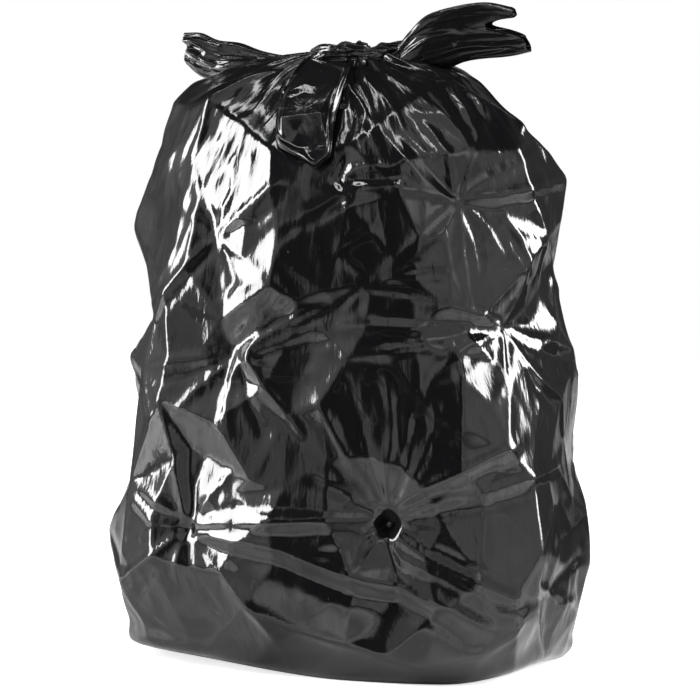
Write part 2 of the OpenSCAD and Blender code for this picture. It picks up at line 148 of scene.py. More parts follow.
def cubic_through(stops, v):
    """Cubic pieces through the stops, at places v counted from 0. Each stop has the mean slope
    of its neighbours."""
    slopes = np.gradient(stops, axis=0)
    i = np.clip(np.floor(v).astype(int), 0, len(stops) - 2)
    t = (v - i)[..., None]
    return (
        (2 * t**3 - 3 * t**2 + 1) * stops[i] + (t**3 - 2 * t**2 + t) * slopes[i]
        + (3 * t**2 - 2 * t**3) * stops[i + 1] + (t**3 - t**2) * slopes[i + 1]
    )


def oblong_radius(angle, a, b, p):
    """Radius of a superellipse: (|sin/a|^p + |cos/b|^p) to the power -1/p."""
    return (np.abs(np.sin(angle) / a) ** p + np.abs(np.cos(angle) / b) ** p) ** (-1 / p)


def shell_point(angle, v):
    """A point of the smooth bag: its oblong's radius at the angle, at the level's height."""
    q = cubic_through(LEVELS, v)
    r = oblong_radius(angle, q[..., 1], q[..., 2], q[..., 3])
    return np.stack([q[..., 4] + r * np.sin(angle), -r * np.cos(angle), q[..., 0]], -1)


print("levels from 0 to", NECK_HEIGHT, "mm")

# %% [markdown]
# A place on the film
#
# Creases are easiest to draw on the flat film, so every place has two lengths in millimetres:
# around the bag from the front centre line, and along the film from the floor to the neck.
# Both come from adding up short steps along the smooth shape.

# %% Film coordinates
STEPS = 720


def running_length(points):
    """Length from the first point to each one: the running sum of the steps between them."""
    return np.concatenate([[0], np.cumsum(np.linalg.norm(np.diff(points, axis=0), axis=1))])


turn = np.linspace(0, 2 * math.pi, STEPS + 1)
rib = oblong_radius(turn, 0.484 * BELLY_WIDTH, 0.487 * BELLY_DEPTH, 3.4)
AROUND = running_length(np.stack([rib * np.sin(turn), rib * np.cos(turn)], -1))
GIRTH = AROUND[-1]
rows = np.linspace(0, len(LEVELS) - 1, STEPS + 1)
profile = cubic_through(LEVELS, rows)
ALONG = running_length(np.stack([(profile[:, 1] + profile[:, 2]) / 2, profile[:, 0]], -1))
FILM_LENGTH = ALONG[-1]


def film_point(s, m):
    """The smooth bag at film place (s, m): look up the angle and the level, then the point."""
    return shell_point(np.interp(np.mod(s, GIRTH), AROUND, turn), np.interp(m, ALONG, rows))


def outward(s, m):
    """The outward normal: the cross product of a short step around and a short step along."""
    low = np.clip(m, 0.5, FILM_LENGTH - 1.5)
    here = film_point(s, low)
    n = np.cross(film_point(s + 1, low) - here, film_point(s, low + 1) - here)
    return n / np.linalg.norm(n, axis=-1, keepdims=True)


def smooth(x):
    """A soft step from 0 to 1: three t squared minus two t cubed."""
    t = np.clip(x, 0, 1)
    return t * t * (3 - 2 * t)


def wrap(s):
    """The same place around, between minus and plus half the girth."""
    return np.mod(s + GIRTH / 2, GIRTH) - GIRTH / 2


print("girth", round(GIRTH), "mm, film length", round(FILM_LENGTH), "mm")

# %% [markdown]
# The net of creases
#
# The film hangs between stars: points where something inside, or the pull of the knot, pinches
# it. Between the stars run the main creases, and between the creases lie the facets. The net is
# drawn for the front, as the photograph shows it, and made up for the sides and the back, which
# it hides. A triangulation that keeps the creases as edges turns the net into facets. Displacing
# a smooth surface with noise would give dents all over, never flat facets.

# %% Stars and creases of the front
# A star is (around, along, height over the smooth bag)
HIGH_STAR = (-109, 470, -14)
HIGH_EDGE_TOP = (-46, 564, 2)
HIGH_EDGE = (-23, 484, 5)
HIGH_EDGE_FOOT = (-25, 421, 7)
WAIST_STAR = (-77, 357, -18)
WAIST_FOOT = (-59, 346, -14)
RIGHT_STAR = (206, 511, -13)
MIDDLE_STAR = (89, 427, -6)
RIGHT_WAIST_STAR = (255, 377, -13)
LOW_STAR = (97, 178, -22)
LEFT_LOW_STAR = (-122, 162, -21)
FINGER_TIP = (54, 533, -5)
SIDE_TIP = (274, 495, -9)
SIDE_CORNER = (396, 526, 7)
SIDE_WAIST = (302, 379, -8)
SIDE_LOW_CORNER = (400, 170, 8)
RIGHT_FOOT = (302, 100, -8)
LOOP_FOOT = (40, 529, 0)

CREASES = [
    [(-324, 652, 3), (-309, 625, 1), (-241, 613, -3), (-202, 620, 1), (-122, 598, -3), HIGH_EDGE_TOP],
    [HIGH_EDGE_TOP, LOOP_FOOT],
    [(-241, 613, -3), (-179, 554, -9), HIGH_STAR],
    [(-202, 620, 1), (-179, 554, -9)],
    [HIGH_STAR, (-90, 386, -9), WAIST_STAR],
    [HIGH_STAR, HIGH_EDGE_FOOT, WAIST_STAR],
    [(-90, 386, -9), HIGH_EDGE_FOOT],
    [HIGH_EDGE_TOP, (-36, 524, 4), HIGH_EDGE, (-22, 452, 4), HIGH_EDGE_FOOT],
    [HIGH_STAR, (-66, 490, -4), (-36, 524, 4)],
    [HIGH_EDGE, (21, 487, 5), (68, 501, 6), (120, 514, 2)],
    [HIGH_EDGE_TOP, (0, 524, 2), (60, 516, 1)],
    [HIGH_STAR, (-145, 438, -5), (-205, 384, -4)],
    [WAIST_STAR, (-30, 396, 0), (40, 415, 2), MIDDLE_STAR],
    [WAIST_STAR, WAIST_FOOT, (0, 378, 2), (50, 404, 2), MIDDLE_STAR],
    [WAIST_FOOT, (-5, 288, 5), (40, 240, 4), LOW_STAR],
    [WAIST_STAR, (-160, 340, -3), (-212, 328, -3)],
    [WAIST_STAR, (-93, 277, -12), (-127, 249, -16), LEFT_LOW_STAR],
    [(-93, 277, -12), (-103, 242, -18), (-114, 214, -17), LEFT_LOW_STAR],
    [(-103, 242, -18), (-44, 217, -1), (-10, 212, 2)],
    [(-114, 214, -17), (-66, 204, -8), (-10, 212, 2), (40, 240, 4)],
    [FINGER_TIP, (100, 548, 4), (150, 552, 5), RIGHT_STAR],
    [FINGER_TIP, (130, 521, 4), RIGHT_STAR],
    [RIGHT_STAR, (150, 470, 3), MIDDLE_STAR],
    [RIGHT_STAR, (176, 476, 2), (114, 430, -1), MIDDLE_STAR],
    [RIGHT_STAR, (300, 520, 3), SIDE_CORNER],
    [RIGHT_STAR, SIDE_TIP],
    [RIGHT_STAR, (203, 450, 3), (198, 398, 3)],
    [SIDE_TIP, (330, 472, 4), (388, 446, -5)],
    [SIDE_TIP, (290, 445, 2), SIDE_WAIST],
    [SIDE_WAIST, (340, 412, 0), (388, 446, -5), SIDE_CORNER],
    [SIDE_WAIST, (357, 366, 8), (408, 343, 8)],
    [MIDDLE_STAR, (140, 428, 2), (182, 432, 3)],
    [MIDDLE_STAR, (180, 403, 4), RIGHT_WAIST_STAR],
    [(30, 378, 3), (140, 380, 4), RIGHT_WAIST_STAR],
    [(20, 350, 2), (110, 352, 5), (205, 362, 2), RIGHT_WAIST_STAR],
    [RIGHT_WAIST_STAR, (318, 354, 3), (408, 343, 8)],
    [RIGHT_WAIST_STAR, (272, 335, 2), (308, 318, 5), (352, 300, 6), (366, 255, 0)],
    [RIGHT_WAIST_STAR, (229, 343, 1), (187, 356, 3), (185, 326, 9)],
    [(185, 326, 9), (229, 343, 1)],
    [(185, 326, 9), (181, 280, 12), (178, 234, 11)],
    [(178, 234, 11), (144, 245, 2), (134, 310, 1), (187, 356, 3)],
    [RIGHT_WAIST_STAR, (240, 325, -1), (212, 300, 3)],
    [LEFT_LOW_STAR, (-20, 176, 11), (40, 182, 9), LOW_STAR],
    [LEFT_LOW_STAR, (-165, 176, -4), (-216, 200, -3)],
    [LEFT_LOW_STAR, (-158, 132, -2), (-212, 98, 0)],
    [LEFT_LOW_STAR, (-75, 120, 4), (-45, 88, 5), (-15, 50, 0)],
    [LEFT_LOW_STAR, (-62, 151, 3), (-12, 140, 4), (70, 118, 3), (151, 91, 2), (196, 70, 0)],
    [(-45, 88, 5), (10, 68, 4), (60, 52, 3), (140, 30, 0)],
    [LEFT_LOW_STAR, (-140, 236, -12), (-168, 300, -5)],
    [LOW_STAR, (142, 218, 4), (178, 234, 11), (228, 255, 7), (280, 264, 5), (318, 250, 2)],
    [LOW_STAR, (200, 212, 5), (262, 226, 4), (335, 226, 2)],
    [LOW_STAR, (160, 180, 3)],
    [LOW_STAR, (140, 147, 4), (190, 122, 5), (224, 102, 4), RIGHT_FOOT],
    [LOW_STAR, (60, 250, 2), (30, 300, 3)],
    [LOW_STAR, (118, 240, 3), (134, 310, 1)],
    [(292, 186, 5), (260, 146, 5), (224, 102, 4)],
    [(262, 226, 4), (292, 186, 5), (335, 192, 0), (375, 189, 3)],
    [(318, 250, 2), (335, 226, 2)],
    [(292, 186, 5), RIGHT_FOOT, (352, 116, 2), (375, 189, 3)],
    [RIGHT_FOOT, (226, 72, 2), (196, 46, 0)],
    [RIGHT_FOOT, (345, 84, 2), (388, 62, 2)],
    [(335, 226, 2), (375, 189, 3), SIDE_LOW_CORNER, (420, 112, 4)],
    [SIDE_CORNER, (331, 590, 3), (262, 650, 3)],
    [LOOP_FOOT, (74, 568, 3), (160, 606, 3), (262, 650, 3)],
    [(74, 568, 3), (100, 548, 4)],
    [RIGHT_STAR, (236, 560, 4), (228, 606, 3), (262, 650, 3)],
    [(236, 560, 4), (300, 560, -2), SIDE_CORNER],
]
print(len(CREASES), "creases drawn by hand on the front")

# %% [markdown]
# The sides and the back
#
# Nobody can see these in the photograph, so they only have to be of one kind with the front:
# stars about a hand apart on a loose grid, with creases to the nearest neighbours.

# %% Stars and creases of the sides and the back
BACK_FROM, BACK_TO = 470, GIRTH - 290
BACK_LOW, BACK_HIGH = 50, FILM_LENGTH - 190
BACK_COLUMNS, BACK_ROWS = 9, 7


def scatter(number, rate):
    """An even scatter between -1 and 1: the part of number x rate behind the point."""
    return 2 * ((number * rate) % 1) - 1


def back_stars():
    """Stars on a jittered grid, alternately pinched in and pushed out."""
    stars = []
    for i in range(BACK_ROWS):
        for k in range(BACK_COLUMNS):
            number = i * BACK_COLUMNS + k
            around = BACK_FROM + (k + 0.5 * (i % 2)) * (BACK_TO - BACK_FROM) / (BACK_COLUMNS - 0.5)
            along = BACK_LOW + i * (BACK_HIGH - BACK_LOW) / (BACK_ROWS - 1)
            stars.append((
                around + 22 * scatter(number, 0.7549),
                along + 20 * scatter(number, 0.5698),
                (6 if (i + k) % 2 else -10) + 3 * scatter(number, 0.618),
            ))
    return stars


print(len(back_stars()), "stars made up for the back")

# %% Facets from the net
RIM_STEP, NECK_ROW_TURN = 62, 40
LONGEST = 72
TOP_OF_NET = FILM_LENGTH - 60


def with_halfways(line):
    """The stars of one crease, with a star halfway along each stretch that is long."""
    stars = [line[0]]
    for a, b in zip(line, line[1:]):
        if math.hypot(b[0] - a[0], b[1] - a[1]) > LONGEST:
            stars.append(tuple((p + q) / 2 for p, q in zip(a, b)))
        stars.append(b)
    return stars


def net_stars():
    """Every star once with its height, with a plain row near the floor and one near the neck,
    and every crease as a pair of places."""
    stars, edges = {}, set()
    for line in [with_halfways(line) for line in CREASES] + [[star] for star in back_stars()]:
        line = [(round(float(wrap(s)), 1), round(m, 1), h) for s, m, h in line]
        for star in line:
            stars.setdefault(star[:2], star[2])
        for a, b in zip(line, line[1:]):
            edges.add((a[:2], b[:2]))
    for k in range(int(GIRTH // RIM_STEP)):
        around = -GIRTH / 2 + (k + 0.5) * GIRTH / int(GIRTH // RIM_STEP)
        stars[round(around, 1), 0] = 0
        stars[round(around + NECK_ROW_TURN, 1), TOP_OF_NET] = 0
    return stars, edges


def triangulate(stars, edges):
    """A Delaunay triangulation over three girths that keeps each crease as an edge."""
    places = np.array(list(stars))
    index = {place: k for k, place in enumerate(stars)}
    lines, points = [], []
    for copy in (-1, 0, 1):
        points += [Vector((s + copy * GIRTH, m)) for s, m in places]
        for a, b in edges:
            jump = round((a[0] - b[0]) / GIRTH)
            if -1 <= copy + jump <= 1:
                lines.append((
                    index[a] + (copy + 1) * len(places),
                    index[b] + (copy + jump + 1) * len(places),
                ))
    out, _, faces, origin, _, _ = delaunay_2d_cdt(points, lines, [], 0, 1e-4)
    crossings = [tuple(round(x) for x in out[k]) for k, o in enumerate(origin) if not o]
    print("stars", len(places), "facets", len(faces) // 3, "creases that cross", crossings)
    flat = np.array([tuple(p) for p in out])
    node = [o[0] % len(places) if o else -1 for o in origin]
    for k, number in enumerate(node):
        if number < 0:
            away = np.hypot(wrap(places[:, 0] - flat[k, 0]), places[:, 1] - flat[k, 1])
            node[k] = int(away.argmin())
    return flat, np.array(node), np.array([f[:] for f in faces])


STARS, EDGES = net_stars()
NET_PLACES, NET_NODES, NET_FACES = triangulate(STARS, EDGES)

# %% [markdown]
# Facets that catch the light
#
# Black gloss is a mirror. A facet is white where it mirrors a window, grey where it mirrors the
# pale room, and black where it mirrors the dark part, and the photograph shows which facets do
# what. A flat facet with the corners P0, P1 and P2 faces along n when (P1 - P0) . n and
# (P2 - P0) . n are both zero. Each corner is its place on the smooth bag plus its height times
# the normal there, so these are plain linear equations in the heights, and least squares finds
# the heights that meet them while they stay close to the ones first drawn. Turning facets by
# hand, one after the other, would never end, because neighbours share their corners.

# %% Turn chosen facets
LEFT_WINDOW, RIGHT_WINDOW = (-63, 19), (110, 20)
CAMERA_RISE = 4.4


def halfway_to(azimuth, elevation):
    """The normal that mirrors a direction into the camera: the mean of the directions to both."""
    n = direction(azimuth, elevation) + direction(CAMERA_AZIMUTH, CAMERA_RISE)
    return n / np.linalg.norm(n)


# What some facets mirror: a direction (azimuth, degrees above the horizon), and one place
# (around, along) on each facet that is turned towards it
MIRRORS = [
    # High in the left window
    ((LEFT_WINDOW[0], 32), [(-154, 556), (-98, 528), (-65, 545), (-49, 526)]),
    # Low in the left window
    ((LEFT_WINDOW[0], 13), [
        (-37, 460), (-50, 423), (-75, 426), (-74, 340), (-115, 235), (-94, 220), (-122, 223),
        (-120, 194), (-102, 182), (-84, 196), (-32, 197), (-52, 183), (-85, 161), (-51, 165),
    ]),
    # The right window
    ((RIGHT_WINDOW[0], 17), [(298, 471), (333, 386), (200, 342)]),
    # The pale left side
    ((-94, 8), [
        (-197, 586), (-174, 204), (-155, 454), (-192, 351), (-180, 323), (-178, 135),
    ]),
    # The floor in front on the left
    ((-34, -4), [(-145, 204), (-139, 179), (-148, 157), (-151, 366), (116, 143)]),
    ((-46, -8), [(-86, 144)]),
    # The pale right side
    ((72, 14), [
        (263, 545), (256, 463), (228, 485), (195, 479), (206, 413), (227, 293), (241, 195),
    ]),
    # Beside the camera, where the dark room ends
    ((28, 4), [(170, 196)]),
    # The dark room in front
    ((-6, 6), [
        (-30, 347), (-4, 348), (-30, 373), (-6, 318), (27, 387), (-47, 261), (-20, 239), (50, 210),
    ]),
    # The dark behind on the right
    ((140, 6), [(256, 346), (264, 308), (249, 281), (287, 306), (230, 361)]),
]


def double_area(a, b, c):
    """Twice the area of a triangle on the film: a cross product of two of its sides."""
    return (b[0] - a[0]) * (c[1] - a[1]) - (c[0] - a[0]) * (b[1] - a[1])


def weights_in(a, b, c, s, m):
    """The weights of b and c at the place (s, m): the shares of the area opposite to each."""
    area = double_area(a, b, c)
    return double_area(a, (s, m), c) / area, double_area(a, b, (s, m)) / area


def owner_of(s, m):
    """The facet around one film place: the one in which all three weights are positive."""
    a, b, c = (NET_PLACES[NET_FACES[:, k]].T for k in range(3))
    w1, w2 = weights_in(a, b, c, s, m)
    return int(np.argmax(np.minimum(np.minimum(w1, w2), 1 - w1 - w2)))


def star_heights(firmness=0.6, depth_held=10):
    """Least squares over all heights h: firmness x (1 + |drawn h| / depth held) x (h - drawn h)
    = 0, so that deep stars stay deep, and for each chosen facet (P1 - P0) . n = 0 and
    (P2 - P0) . n = 0."""
    drawn = np.array(list(STARS.values()), float)
    places = np.array(list(STARS))
    base, normal = film_point(*places.T), outward(*places.T)
    hold = firmness * (1 + np.abs(drawn) / depth_held)
    rows, right = [np.diag(hold)], [hold * drawn]
    for mirrored, around, along in [(d, *place) for d, places in MIRRORS for place in places]:
        n = halfway_to(*mirrored)
        corners = NET_NODES[NET_FACES[owner_of(around, along)]]
        for k in (1, 2):
            row = np.zeros((1, len(drawn)))
            row[0, corners[k]] += normal[corners[k]] @ n
            row[0, corners[0]] -= normal[corners[0]] @ n
            rows.append(row)
            right.append([(base[corners[0]] - base[corners[k]]) @ n])
    heights = np.linalg.lstsq(np.concatenate(rows), np.concatenate(right), rcond=None)[0]
    print("heights move by up to", round(float(np.abs(heights - drawn).max()), 1), "mm")
    return heights


NET_HEIGHTS = star_heights()[NET_NODES]

# %% [markdown]
# A grid that follows the creases
#
# A crease is only crisp where it runs along edges of the mesh. So the grid is pulled a little
# way onto the nearest crease line, and each of its squares is later split along the diagonal
# that lies closer to the true surface. An even grid would need many times the faces.

# %% Grid places on the film
FRONT_FROM, FRONT_TO = -262, 430
FRONT_STEP, BACK_STEP, RING_STEP = 2.6, 5.2, 3.5


def grid_columns():
    """Columns close together over the front, and wider apart behind."""
    front = np.arange(round((FRONT_TO - FRONT_FROM) / FRONT_STEP)) * FRONT_STEP + FRONT_FROM
    behind = FRONT_FROM + GIRTH - front[-1] - FRONT_STEP
    count = round(behind / BACK_STEP)
    return np.concatenate([front, front[-1] + FRONT_STEP + np.arange(count) * behind / count])


COLUMNS = grid_columns()
RINGS = np.linspace(0, FILM_LENGTH, round(FILM_LENGTH / RING_STEP) + 1)


def window(low_s, high_s, low_m, high_m):
    """The part of the grid in a range of film places, once for each girth it shows up in."""
    rows = slice(np.searchsorted(RINGS, low_m), np.searchsorted(RINGS, high_m))
    for copy in (-GIRTH, 0, GIRTH):
        columns = slice(np.searchsorted(COLUMNS, low_s + copy), np.searchsorted(COLUMNS, high_s + copy))
        if columns.stop > columns.start and rows.stop > rows.start:
            yield rows, columns, copy


def segment_foot(s, m, a, b):
    """Foot of the perpendicular on the segment a to b: a + t (b - a), with t held in 0 to 1."""
    way = np.array(b, float) - a
    t = np.clip(((s - a[0]) * way[0] + (m - a[1]) * way[1]) / (way @ way), 0, 1)
    return t, a[0] + t * way[0] - s, a[1] + t * way[1] - m


def pulled_grid(lines):
    """Every place moves to the nearest line when that is within half a step of the grid."""
    s, m = np.meshgrid(COLUMNS, RINGS)
    start_s, start_m = s.copy(), m.copy()
    steps = np.where((COLUMNS > FRONT_FROM) & (COLUMNS < FRONT_TO), FRONT_STEP, BACK_STEP)
    nearest = np.full(s.shape, np.inf)
    for a, b in lines:
        a, b = np.array(a[:2], float), np.array(b[:2], float)
        way = b - a
        if np.hypot(*way) < 0.5:
            continue
        across = np.abs(way) / np.hypot(*way)
        low, high = np.minimum(a, b) - 5, np.maximum(a, b) + 5
        for rows, columns, copy in window(low[0], high[0], low[1], high[1]):
            _, ds, dm = segment_foot(start_s[rows, columns] - copy, start_m[rows, columns], a, b)
            away = np.hypot(ds, dm)
            limit = 0.5 * np.maximum(across[1] * steps[columns], across[0] * RING_STEP)
            take = (away < limit) & (away < nearest[rows, columns])
            nearest[rows, columns] = np.where(take, away, nearest[rows, columns])
            s[rows, columns] = np.where(take, start_s[rows, columns] + ds, s[rows, columns])
            m[rows, columns] = np.where(take, start_m[rows, columns] + dm, m[rows, columns])
    m[0], m[-1] = 0, FILM_LENGTH
    return s, m


print(len(COLUMNS), "columns and", len(RINGS), "rings")

# %% [markdown]
# Small folds
#
# Around every star the film is gathered, so small sharp folds leave it in all directions and
# die out within a few centimetres. Other small folds cross the facets where the film was
# squeezed in the hand. Each is a line on the film with a height and a reach: its cross-section
# is a cusp, high on the line, flat at the reach, and barely rounded at its top, because film is
# thin but has no true edge.

# %% Small folds of the front
# (height, reach, places along the fold)
FOLDS = [
    (3.0, 12, [(-108, 471), (-60, 448), (-32, 428)]),
    (2.6, 10, [(-97, 402), (-72, 414), (-36, 430)]),
    (-3.0, 10, [(-100, 462), (-78, 425), (-90, 405)]),
    (3.5, 12, [(-125, 455), (-145, 438), (-180, 402), (-204, 380)]),
    (-3.0, 12, [(-112, 462), (-150, 418), (-196, 372)]),
    (3.0, 10, [(-173, 458), (-195, 420), (-214, 396)]),
    (3.0, 12, [(-120, 480), (-170, 500), (-210, 540)]),
    (-3.0, 14, [(-112, 484), (-150, 530), (-190, 570)]),
    (3.0, 12, [(-104, 484), (-96, 520), (-110, 560)]),
    (2.6, 10, [(-98, 478), (-60, 505), (-20, 530)]),
    (-2.6, 9, [(-95, 474), (-55, 483), (-20, 503)]),
    (2.6, 9, [(5, 493), (24, 500), (52, 514), (84, 520)]),
    (-3.0, 10, [(-12, 474), (24, 486), (64, 508)]),
    (3.6, 12, [(-76, 362), (-52, 378), (-30, 396), (-8, 414)]),
    (-3.0, 9, [(-74, 358), (-40, 374), (0, 392)]),
    (3.4, 10, [(-60, 352), (-20, 378), (20, 396), (52, 405)]),
    (3.0, 9, [(-56, 347), (-10, 366), (40, 384)]),
    (-2.4, 8, [(-50, 344), (0, 358), (50, 366)]),
    (3.0, 10, [(-60, 344), (-24, 330), (20, 330)]),
    (4.0, 10, [(-58, 347), (-36, 318), (-5, 288), (12, 268)]),
    (-3.0, 12, [(-64, 340), (-52, 300), (-30, 262)]),
    (3.0, 12, [(-72, 342), (-80, 300), (-74, 262)]),
    (3.0, 10, [(-82, 350), (-120, 344), (-160, 338), (-200, 330)]),
    (-2.6, 9, [(-84, 344), (-130, 326), (-180, 312)]),
    (2.6, 9, [(-84, 338), (-124, 306), (-150, 276)]),
    (3.0, 10, [(-205, 318), (-196, 300), (-182, 276)]),
    (4.0, 9, [(57, 533), (72, 539), (100, 542), (126, 540), (152, 552)]),
    (-3.5, 9, [(64, 532), (100, 533), (150, 534)]),
    (4.0, 8, [(57, 533), (76, 525), (120, 521), (160, 520), (202, 511)]),
    (3.4, 8, [(200, 511), (172, 490), (140, 462), (114, 444), (92, 430)]),
    (-2.6, 6, [(190, 498), (160, 474), (120, 444)]),
    (3.0, 8, [(192, 497), (165, 472), (130, 446), (104, 428)]),
    (3.4, 10, [(205, 511), (240, 513), (300, 520), (350, 528), (403, 533)]),
    (-3.0, 9, [(208, 506), (250, 504), (310, 508), (380, 516)]),
    (3.0, 9, [(206, 516), (240, 530), (290, 545), (340, 560)]),
    (-2.6, 9, [(204, 520), (222, 548), (250, 580)]),
    (3.2, 10, [(200, 520), (204, 556), (190, 590)]),
    (-2.8, 9, [(196, 518), (172, 548), (150, 580)]),
    (2.6, 8, [(194, 514), (166, 530), (140, 560)]),
    (1.8, 9, [(203, 503), (199, 470), (201, 430), (205, 404)]),
    (-2.8, 9, [(210, 503), (222, 470), (226, 436)]),
    (3.0, 9, [(212, 506), (238, 480), (252, 452)]),
    (2.4, 8, [(88, 426), (120, 430), (150, 434), (182, 432)]),
    (-2.4, 7, [(94, 432), (130, 438), (170, 446)]),
    (2.4, 8, [(86, 424), (70, 408), (58, 396)]),
    (2.4, 8, [(100, 485), (78, 472), (55, 460)]),
    (-2.2, 8, [(84, 432), (64, 446), (40, 452)]),
    (3.4, 8, [(250, 380), (215, 392), (180, 400), (130, 408), (83, 413)]),
    (-3.0, 7, [(246, 382), (200, 386), (150, 388), (90, 392)]),
    (3.4, 7, [(248, 378), (200, 380), (150, 380), (100, 381), (55, 380)]),
    (-3.0, 7, [(244, 374), (190, 370), (140, 366), (90, 364)]),
    (3.4, 8, [(248, 374), (190, 368), (140, 360), (95, 354), (55, 352)]),
    (-2.6, 8, [(246, 368), (200, 352), (160, 342)]),
    (3.2, 8, [(227, 352), (205, 342), (183, 328)]),
    (3.2, 9, [(183, 358), (181, 342), (182, 326)]),
    (-2.8, 8, [(262, 368), (250, 340), (232, 310)]),
    (3.6, 9, [(265, 380), (284, 372), (300, 365), (350, 356), (410, 345)]),
    (-3.2, 9, [(268, 372), (310, 352), (360, 338), (405, 326)]),
    (3.4, 8, [(266, 366), (280, 340), (300, 325), (330, 310), (350, 300), (360, 260)]),
    (-2.8, 8, [(270, 350), (296, 312), (330, 286)]),
    (3.0, 8, [(262, 388), (282, 410), (290, 446), (262, 498)]),
    (-2.8, 8, [(270, 386), (296, 400), (320, 430)]),
    (3.0, 8, [(302, 384), (326, 400), (350, 420), (372, 430)]),
    (3.0, 8, [(302, 386), (350, 388), (395, 350)]),
    (3.0, 9, [(260, 500), (268, 482), (285, 470), (330, 460), (395, 440)]),
    (-2.8, 8, [(262, 492), (276, 460), (296, 425)]),
    (2.0, 7, [(183, 330), (182, 312), (184, 295)]),
    (2.0, 7, [(140, 350), (141, 326), (140, 300)]),
    (3.6, 9, [(-112, 170), (-60, 177), (0, 181), (50, 183), (99, 182)]),
    (-3.4, 9, [(-106, 162), (-60, 162), (0, 164), (80, 168)]),
    (-3.2, 9, [(-112, 178), (-60, 190), (0, 194), (70, 192)]),
    (3.6, 9, [(-135, 178), (-155, 188), (-175, 196), (-204, 203)]),
    (3.0, 8, [(-132, 168), (-165, 171), (-204, 190)]),
    (-2.6, 8, [(-134, 172), (-170, 182), (-200, 196)]),
    (3.6, 9, [(-130, 157), (-145, 143), (-158, 132), (-205, 102)]),
    (-3.0, 9, [(-128, 150), (-150, 120), (-190, 84)]),
    (3.0, 9, [(-205, 90), (-184, 98), (-160, 108), (-128, 148)]),
    (3.4, 9, [(-122, 172), (-137, 220), (-136, 246)]),
    (-2.8, 8, [(-116, 176), (-118, 210), (-108, 240)]),
    (3.2, 9, [(-112, 174), (-96, 200), (-70, 226)]),
    (3.8, 10, [(-112, 152), (-90, 134), (-60, 104), (-45, 88), (-15, 55)]),
    (-3.4, 10, [(-120, 148), (-108, 110), (-88, 70)]),
    (3.0, 9, [(-124, 150), (-130, 110), (-120, 70)]),
    (6.0, 15, [(-108, 160), (-58, 157), (-5, 148), (60, 127), (110, 118), (155, 99), (200, 72)]),
    (-6.0, 15, [(-100, 150), (-50, 141), (0, 130), (60, 108), (110, 98), (155, 79), (190, 52)]),
    (3.0, 9, [(-42, 83), (0, 68), (50, 55), (100, 46)]),
    (3.8, 9, [(108, 198), (142, 218), (180, 235), (217, 252), (258, 262)]),
    (-3.2, 8, [(112, 194), (150, 212), (200, 232), (250, 244)]),
    (3.6, 8, [(117, 188), (150, 200), (200, 212), (262, 225), (330, 228)]),
    (-2.8, 8, [(116, 184), (160, 192), (210, 198), (260, 206)]),
    (2.8, 7, [(114, 181), (140, 181), (165, 178)]),
    (4.0, 8, [(104, 168), (120, 158), (140, 147), (182, 127), (200, 115), (235, 100)]),
    (-3.4, 8, [(112, 172), (150, 154), (200, 130)]),
    (3.6, 8, [(100, 164), (112, 145), (155, 128), (190, 107), (212, 88)]),
    (-3.0, 8, [(96, 160), (110, 128), (150, 98), (184, 70)]),
    (3.4, 9, [(92, 166), (80, 140), (62, 126)]),
    (-3.0, 9, [(88, 170), (60, 152), (30, 146)]),
    (3.4, 10, [(90, 196), (66, 240), (44, 280), (30, 302)]),
    (-3.0, 10, [(96, 200), (84, 244), (74, 290), (60, 330)]),
    (3.2, 9, [(100, 202), (104, 240), (110, 284), (104, 330)]),
    (-2.8, 9, [(106, 202), (124, 240), (134, 290)]),
    (3.0, 9, [(110, 200), (136, 236), (152, 276), (156, 310)]),
    (-3.2, 9, [(84, 190), (54, 210), (20, 222)]),
    (2.8, 8, [(270, 106), (286, 103), (300, 101)]),
    (3.2, 9, [(210, 88), (226, 86), (240, 85), (222, 60), (190, 45)]),
    (3.2, 9, [(300, 200), (278, 154), (255, 112), (300, 100)]),
    (3.0, 9, [(300, 98), (330, 74), (380, 80)]),
    (-2.8, 9, [(304, 104), (340, 118), (390, 124)]),
    (3.0, 9, [(302, 106), (316, 140), (320, 186)]),
    (5.0, 8, [(368, 712), (357, 670), (350, 630), (331, 589)]),
    (4.0, 7, [(306, 712), (276, 664), (262, 625), (258, 598)]),
    (4.0, 7, [(330, 700), (312, 664), (290, 640), (282, 600)]),
    (4.0, 7, [(-324, 652), (-300, 684), (-262, 716)]),
    (4.0, 7, [(-270, 628), (-240, 668), (-200, 710)]),
    (3.6, 7, [(-202, 620), (-180, 668), (-150, 712)]),
]
FOLD_SHARE, FOLD_RADIUS = 0.7, 1.3
print(len(FOLDS), "small folds in front")

# %% Small folds of the sides and the back
FOLDS_PER_STAR, REACH_BEHIND = 6, 11
RIDGE, GROOVE = 3.6, -3.0


def folds_behind():
    """From each star behind, folds in scattered directions: (cos, sin) of an angle that turns a
    little on the way. Ridges and grooves take turns."""
    chance = np.random.default_rng(17)
    folds = []
    for around, along, _ in back_stars():
        for k in range(FOLDS_PER_STAR):
            angle = 2 * math.pi * (k + chance.uniform(-0.35, 0.35)) / FOLDS_PER_STAR
            bend, length = chance.uniform(-0.5, 0.5), chance.uniform(35, 90)
            height = (RIDGE if k % 2 else GROOVE) * chance.uniform(0.5, 1.2)
            line = []
            for t in (0.05, 0.4, 0.7, 1):
                s = around + t * length * math.cos(angle + bend * t)
                m = along + t * length * math.sin(angle + bend * t)
                line.append((s, min(max(m, 5), TOP_OF_NET)))
            folds.append((height, REACH_BEHIND, line))
    return folds


FOLDS += folds_behind()
print(len(FOLDS), "small folds in all")


